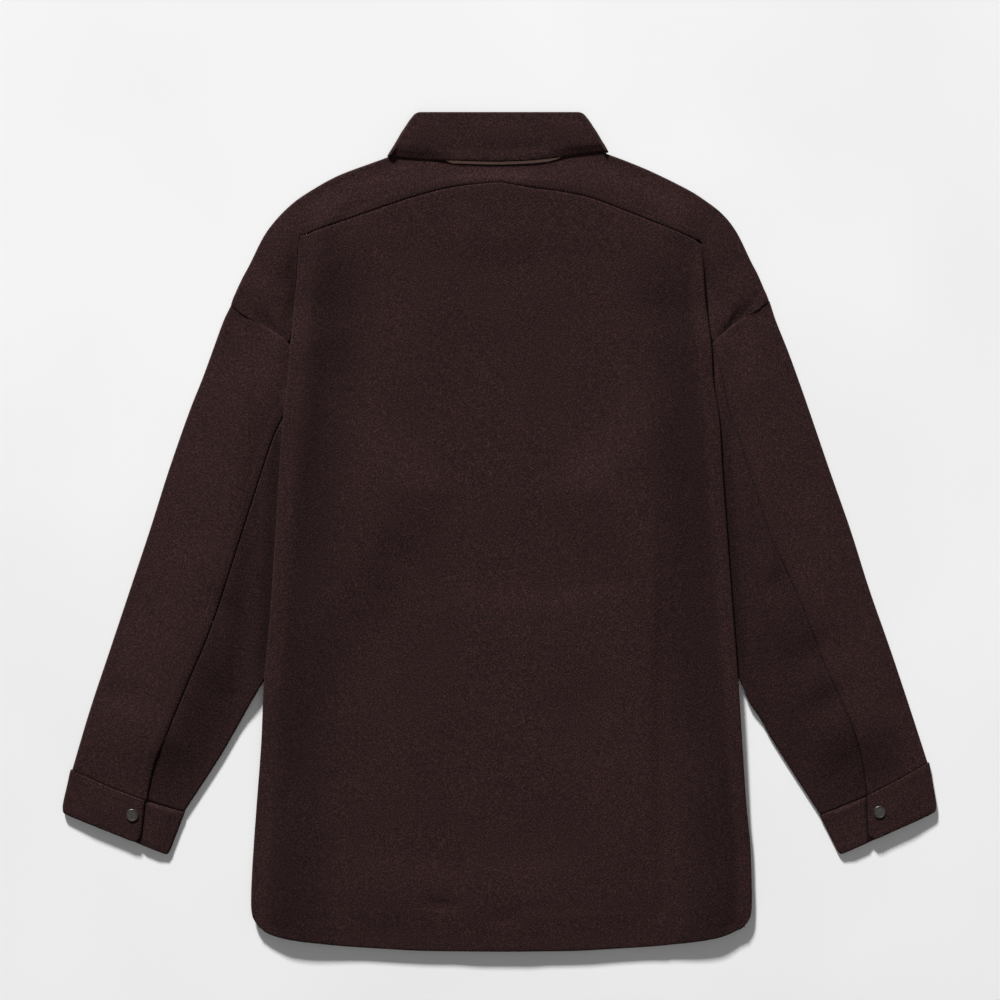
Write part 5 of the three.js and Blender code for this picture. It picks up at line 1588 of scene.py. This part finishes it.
@dataclass
class Front:
    """One front, flat on the table, with its side turned in to the side seam."""

    side: Side
    armhole: dict[str, Sequence[float]]
    snap_count: int = 6
    snap_first: float = 150.0
    snap_pitch: float = 118.0
    snap_radius: float = 6.25

    def edge(self) -> Curve:
        """Plan line of the front's outer edge: the armhole, then the side fold."""
        armhole = table_curve(self.armhole)
        upper = np.array([0.14, 0.19, 0.24])
        points = armhole(upper) + curve_normal(armhole, upper, -1) * ARMHOLE_INSET
        downs = np.array([242, 262, 290, 320, 378, 440, 503, 568, 631, 696, 745, 785, FRONT_BOTTOM])
        fold = np.column_stack([Layers.edge(self.side.value, downs) - FRONT_INSET, downs])
        return plan_curve(np.vstack([points, fold]))

    def top(self, inset: Array) -> Curve:
        """Plan line of the front's upper edge: the neckline, then the end of the yoke's wrap."""
        table = YOKE_LEFT if self.side is Side.LEFT else YOKE_RIGHT
        knots = np.linspace(0, 1, len(table["fold_out"]))

        def fold(s: Array) -> Array:
            """Points of the shoulder fold."""
            return np.stack([through(knots, table["fold_out"], s), through(knots, table["fold_down"], s)], axis=-1)

        s = np.linspace(0, 1, 27)
        wrap = fold(s) - curve_normal(fold, s, 1) * (YOKE_WRAP + 3 * SEAM_GAP)
        keep = (wrap[:, 1] > self.neckline(wrap[:, 0]) + SEAM_GAP) & (wrap[:, 0] < inset[0] - 4)
        wrap = wrap[keep]
        out = np.linspace(-OVERLAP, wrap[0, 0] - 2, 6)
        near_neck = np.column_stack([out, self.neckline(out) + SEAM_GAP])
        return plan_curve(np.vstack([near_neck, wrap, inset]))

    @staticmethod
    def neckline(out: Array) -> Array:
        """Neckline of the fronts: a parabola from the side of the neck down to the middle."""
        share = np.clip(np.abs(out) / NECK_HALF, 0, 1)
        return NECK_DOWN + NECK_SLACK + NECK_DROP * (1 - share**2)

    def cloth(self) -> Cloth:
        """The front as one wall, whose lower face is its outer one."""
        edge = self.edge()
        inset = offset_curve(edge, 1, -INNER_RADIUS)
        zero, one = np.float64(0), np.float64(1)
        near = self.top(inset(zero))
        t = graded(720.0, 1.5, 7.0, 9.0)[None, :]
        w = graded(250.0, 1.2, 5.5, 9.0, (True, False))[:, None]

        def far(w: Array) -> Array:
            """Plan line of the hem."""
            out = mix(-OVERLAP, inset(one)[0], w)
            return np.stack([out, mix(Layers.hem(np.abs(out)) - 3, inset(one)[1], smooth(w, 0.9, 1))], axis=-1)

        def start(t: Array) -> Array:
            """The straight front edge."""
            down = mix(near(zero)[1], far(zero)[1], t)
            return np.stack([np.full_like(down, -OVERLAP), down], axis=-1)

        def under(place: Array) -> Array:
            """Height of the lower face: on the table, or one cloth higher over the other front."""
            over = PLY * smooth(place[..., 0], OVERLAP_RISE, OVERLAP + 10) if self.side is Side.RIGHT else 0.0
            return Layers.front(place[..., 0], place[..., 1]) + over

        place = coons(start, inset, near, far)(w, t)
        flat = lift(place, under(place))
        half_turn, lying = np.linspace(0, 1, 9)[1:, None], np.linspace(0, 1, 7)[1:, None]
        fold, normal, bottom = edge(t), curve_normal(edge, t, 1), under(inset(t))
        side = fold_rows(fold, normal, INNER_RADIUS, bottom, bottom + TIGHT_FOLD, half_turn)
        depth = np.maximum(Layers.tuck(fold[..., 1]) - FRONT_INSET, INNER_RADIUS + 2)
        inner = fold - normal * mix(INNER_RADIUS, depth, lying)[..., None]
        points = np.concatenate([flat, side, lift(inner, bottom + TIGHT_FOLD)])
        looks_up = (len(points) - 3, t.size // 2)
        cloth = Cloth(f"front_cloth_{self.side.word}", to_world(points, self.side.value), looks_up=looks_up)
        if self.side is Side.LEFT:
            middle = (cloth.face[:-1, :-1] + cloth.face[1:, 1:]) / 2
            downs = self.snap_first + self.snap_pitch * np.arange(self.snap_count)
            gap = np.hypot(middle[..., :1], middle[..., 1:2] - (LENGTH / 2 - downs)).min(axis=-1)
            cloth.kept = gap > self.snap_radius
        return cloth


@dataclass(frozen=True)
class Lamp:
    """A soft square lamp that looks at the garment's middle."""

    name: str
    place: tuple[float, float, float]
    size: float
    power: float

    def build(self) -> None:
        """Adds the lamp, turned so that its own -Z points at the middle."""
        lamp = bpy.data.lights.new(self.name, "AREA")
        lamp.size = self.size
        lamp.energy = self.power
        light = bpy.data.objects.new(self.name, lamp)
        light.location = self.place
        light.rotation_euler = Vector(self.place).to_track_quat("Z", "Y").to_euler()
        bpy.context.scene.collection.objects.link(light)


@dataclass
class Studio:
    """The backdrop, the lamps and the camera straight above."""

    backdrop_half: float = 3.0
    backdrop_level: float = -0.0002
    lens_mm: float = 100.0
    sensor_mm: float = 36.0
    picture_metres: float = 1.0
    cloth_level: float = 0.008
    aim: tuple[float, float] = (0.00075, 0.0319)
    room_light: float = 0.12
    lamps: tuple[Lamp, ...] = (
        Lamp("window_light", (-5.0, 17.2, 7.4), 2.2, 7000.0),
        Lamp("ceiling_light", (0.9, -1.8, 8.7), 7.8, 85.0),
    )

    def build(self) -> None:
        """Adds everything that isn't the garment."""
        half, level = self.backdrop_half, self.backdrop_level
        corners = [(-half, -half, level), (half, -half, level), (half, half, level), (-half, half, level)]
        mesh = bpy.data.meshes.new("backdrop")
        mesh.from_pydata(corners, [], [(0, 1, 2, 3)])
        mesh.materials.append(PAPER.material())
        backdrop = bpy.data.objects.new("backdrop", mesh)
        bpy.context.scene.collection.objects.link(backdrop)
        for lamp in self.lamps:
            lamp.build()
        # The plain transform shows the dark cloth at its own colour, without lifting it.
        bpy.context.scene.view_settings.view_transform = "Standard"
        world = bpy.data.worlds.new("soft_room")
        world.use_nodes = True
        background = world.node_tree.nodes["Background"]
        background.inputs["Color"].default_value = (1.0, 1.0, 1.0, 1.0)
        background.inputs["Strength"].default_value = self.room_light
        bpy.context.scene.world = world
        lens = bpy.data.cameras.new("camera")
        lens.lens = self.lens_mm
        lens.sensor_width = self.sensor_mm
        camera = bpy.data.objects.new("camera", lens)
        reach = self.lens_mm / self.sensor_mm * self.picture_metres
        camera.location = (*self.aim, self.cloth_level + reach)
        bpy.context.scene.collection.objects.link(camera)
        bpy.context.scene.camera = camera


def dress(piece: bpy.types.Object, node: str) -> None:
    """Hides the node that a finished cloth stands in for, so that the cloth takes its place.

    Args:
        piece: the finished cloth.
        node: the node that it stands for.
    """
    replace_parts(piece, node)


def build_sleeves(thread: Stitching) -> None:
    """Builds both sleeves, their cuffs and the cuffs' snaps."""
    left_cuff = Cuff(Side.LEFT, (429.3, 657.6), (314.8, 700.5), (439.4, 701.5), (331.5, 744.0), (0.34, 0.247), (367.2, 703.4))
    right_cuff = Cuff(Side.RIGHT, (430.7, 650.6), (320.8, 703.5), (439.4, 700.5), (341.0, 744.0), (0.433, 0.29), (380.4, 700.3))
    left = Sleeve(
        Side.LEFT, ARMHOLE_LEFT, OUTER_FOLD_LEFT, INNER_FOLD_LEFT, BACK_SEAM_LEFT, left_cuff,
        (
            Crease(((420, 560), (380, 580), (345, 592)), (0.3, 1.5, 0.4), 10, 16),
            Crease(((428, 640), (395, 646), (360, 655)), (0.3, 1.3, 0.4), 8, 12),
            Crease(((300, 470), (272, 499), (252, 520)), (0.4, 1.8, 0.6), 12, 18),
            Crease(((290, 560), (276, 590), (268, 610)), (0.2, 1.2, 0.2), 12, 12),
            Crease(((320, 400), (300, 420), (284, 446)), (0.1, 1.0, 0.1), 16, 26),
            Crease(((290, 300), (270, 330), (256, 372)), (0.2, 1.0, 0.2), 14, 30),
        ),
    )
    right = Sleeve(
        Side.RIGHT, ARMHOLE_RIGHT, OUTER_FOLD_RIGHT, INNER_FOLD_RIGHT, BACK_SEAM_RIGHT, right_cuff,
        (
            Crease(((340, 520), (312, 540), (286, 560)), (0.2, 1.6, 0.4), 14, 18),
            Crease(((352, 570), (322, 592), (300, 604)), (0.3, 1.8, 0.4), 10, 18),
            Crease(((362, 640), (340, 662), (322, 680)), (0.4, 1.6, 0.4), 10, 12),
            Crease(((300, 455), (280, 470), (262, 476)), (0.3, 1.4, 0.3), 12, 16),
            Crease(((420, 570), (395, 590), (370, 600)), (0.2, 1.3, 0.2), 12, 18),
            Crease(((330, 340), (310, 372), (300, 410)), (0.1, 1.0, 0.1), 20, 26),
        ),
    )
    for sleeve in (left, right):
        word = sleeve.side.word
        upper = sleeve.upper()
        thread.add(*upper.line(Edge.START, EDGE_STITCH, (12, 8)))
        dress(upper.build(WOOL), f"sleeve_upper_{word}")
        under = sleeve.under()
        dress(under.build(WOOL), f"sleeve_under_{word}")
        band = sleeve.wrist.band()
        for edge in (Edge.START, Edge.NEAR, Edge.FAR):
            thread.add(*crop(band.line(edge, EDGE_STITCH), edge))
        dress(band.build(WOOL), f"cuff_{word}")
        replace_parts(sleeve.wrist.cap(), f"cuff_snap_{word}")


def crop(line: tuple[Array, Array], edge: Edge, inset: float = EDGE_STITCH) -> tuple[Array, Array]:
    """Ends a cuff's stitch line where it meets the lines along its other edges.

    Args:
        line: the line's points and normals, starting at the tab or at the sleeve.
        edge: the edge that it follows.
        inset: how far in the other lines lie.

    Returns:
        The kept part: between both ends on the tab, and up to the outer fold on the long edges.
    """
    points, normals = line
    reach = np.concatenate([[0.0], np.cumsum(np.linalg.norm(np.diff(points, axis=0), axis=1))])
    end = reach[-1] - inset if edge is Edge.START else reach[-1]
    kept = (reach > inset) & (reach < end) & (points[:, 2] > 1.0) & (normals[:, 2] > -0.2)
    runs = np.flatnonzero(~kept[np.argmax(kept) :])
    stop = np.argmax(kept) + (runs[0] if len(runs) else len(kept))
    return points[np.argmax(kept) : stop], normals[np.argmax(kept) : stop]


def main() -> None:
    """Builds the garment from the table up, then the studio."""
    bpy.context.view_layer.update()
    thread = Stitching("topstitching")
    for side, armhole in ((Side.LEFT, ARMHOLE_LEFT), (Side.RIGHT, ARMHOLE_RIGHT)):
        front = Front(side, armhole).cloth()
        dress(front.build(WOOL), f"front_{side.word}")
    build_sleeves(thread)
    body = Body()
    dress(body.back().build(WOOL), "back_panel")
    yoke = body.yoke()
    thread.add(*yoke.line(Edge.NEAR, EDGE_STITCH, (52, 52)))
    for edge in (Edge.START, Edge.END):
        thread.add(*crop(yoke.line(edge, EDGE_STITCH), edge))
    dress(yoke.build(WOOL), "back_yoke")
    collar = Collar()
    dress(collar.stand().build(WOOL), "collar_stand")
    dress(collar.under().build(FELT), "collar_under")
    fall = collar.upper()
    dress(fall.build(WOOL), "collar_upper")
    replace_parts(thread.build(THREAD))
    for name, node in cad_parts.items():
        if name.startswith("front_snap"):
            node.data.materials.clear()
            node.data.materials.append(GUNMETAL.material())
    Studio().build()


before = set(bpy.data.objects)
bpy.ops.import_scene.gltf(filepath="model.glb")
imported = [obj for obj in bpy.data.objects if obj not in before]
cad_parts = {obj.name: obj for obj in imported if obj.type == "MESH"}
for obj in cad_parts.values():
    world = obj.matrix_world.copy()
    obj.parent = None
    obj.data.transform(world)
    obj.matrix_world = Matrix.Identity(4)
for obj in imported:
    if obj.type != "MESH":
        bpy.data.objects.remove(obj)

if __name__ == "__main__":
    logging.basicConfig(level=logging.INFO, format="%(message)s")
    main()
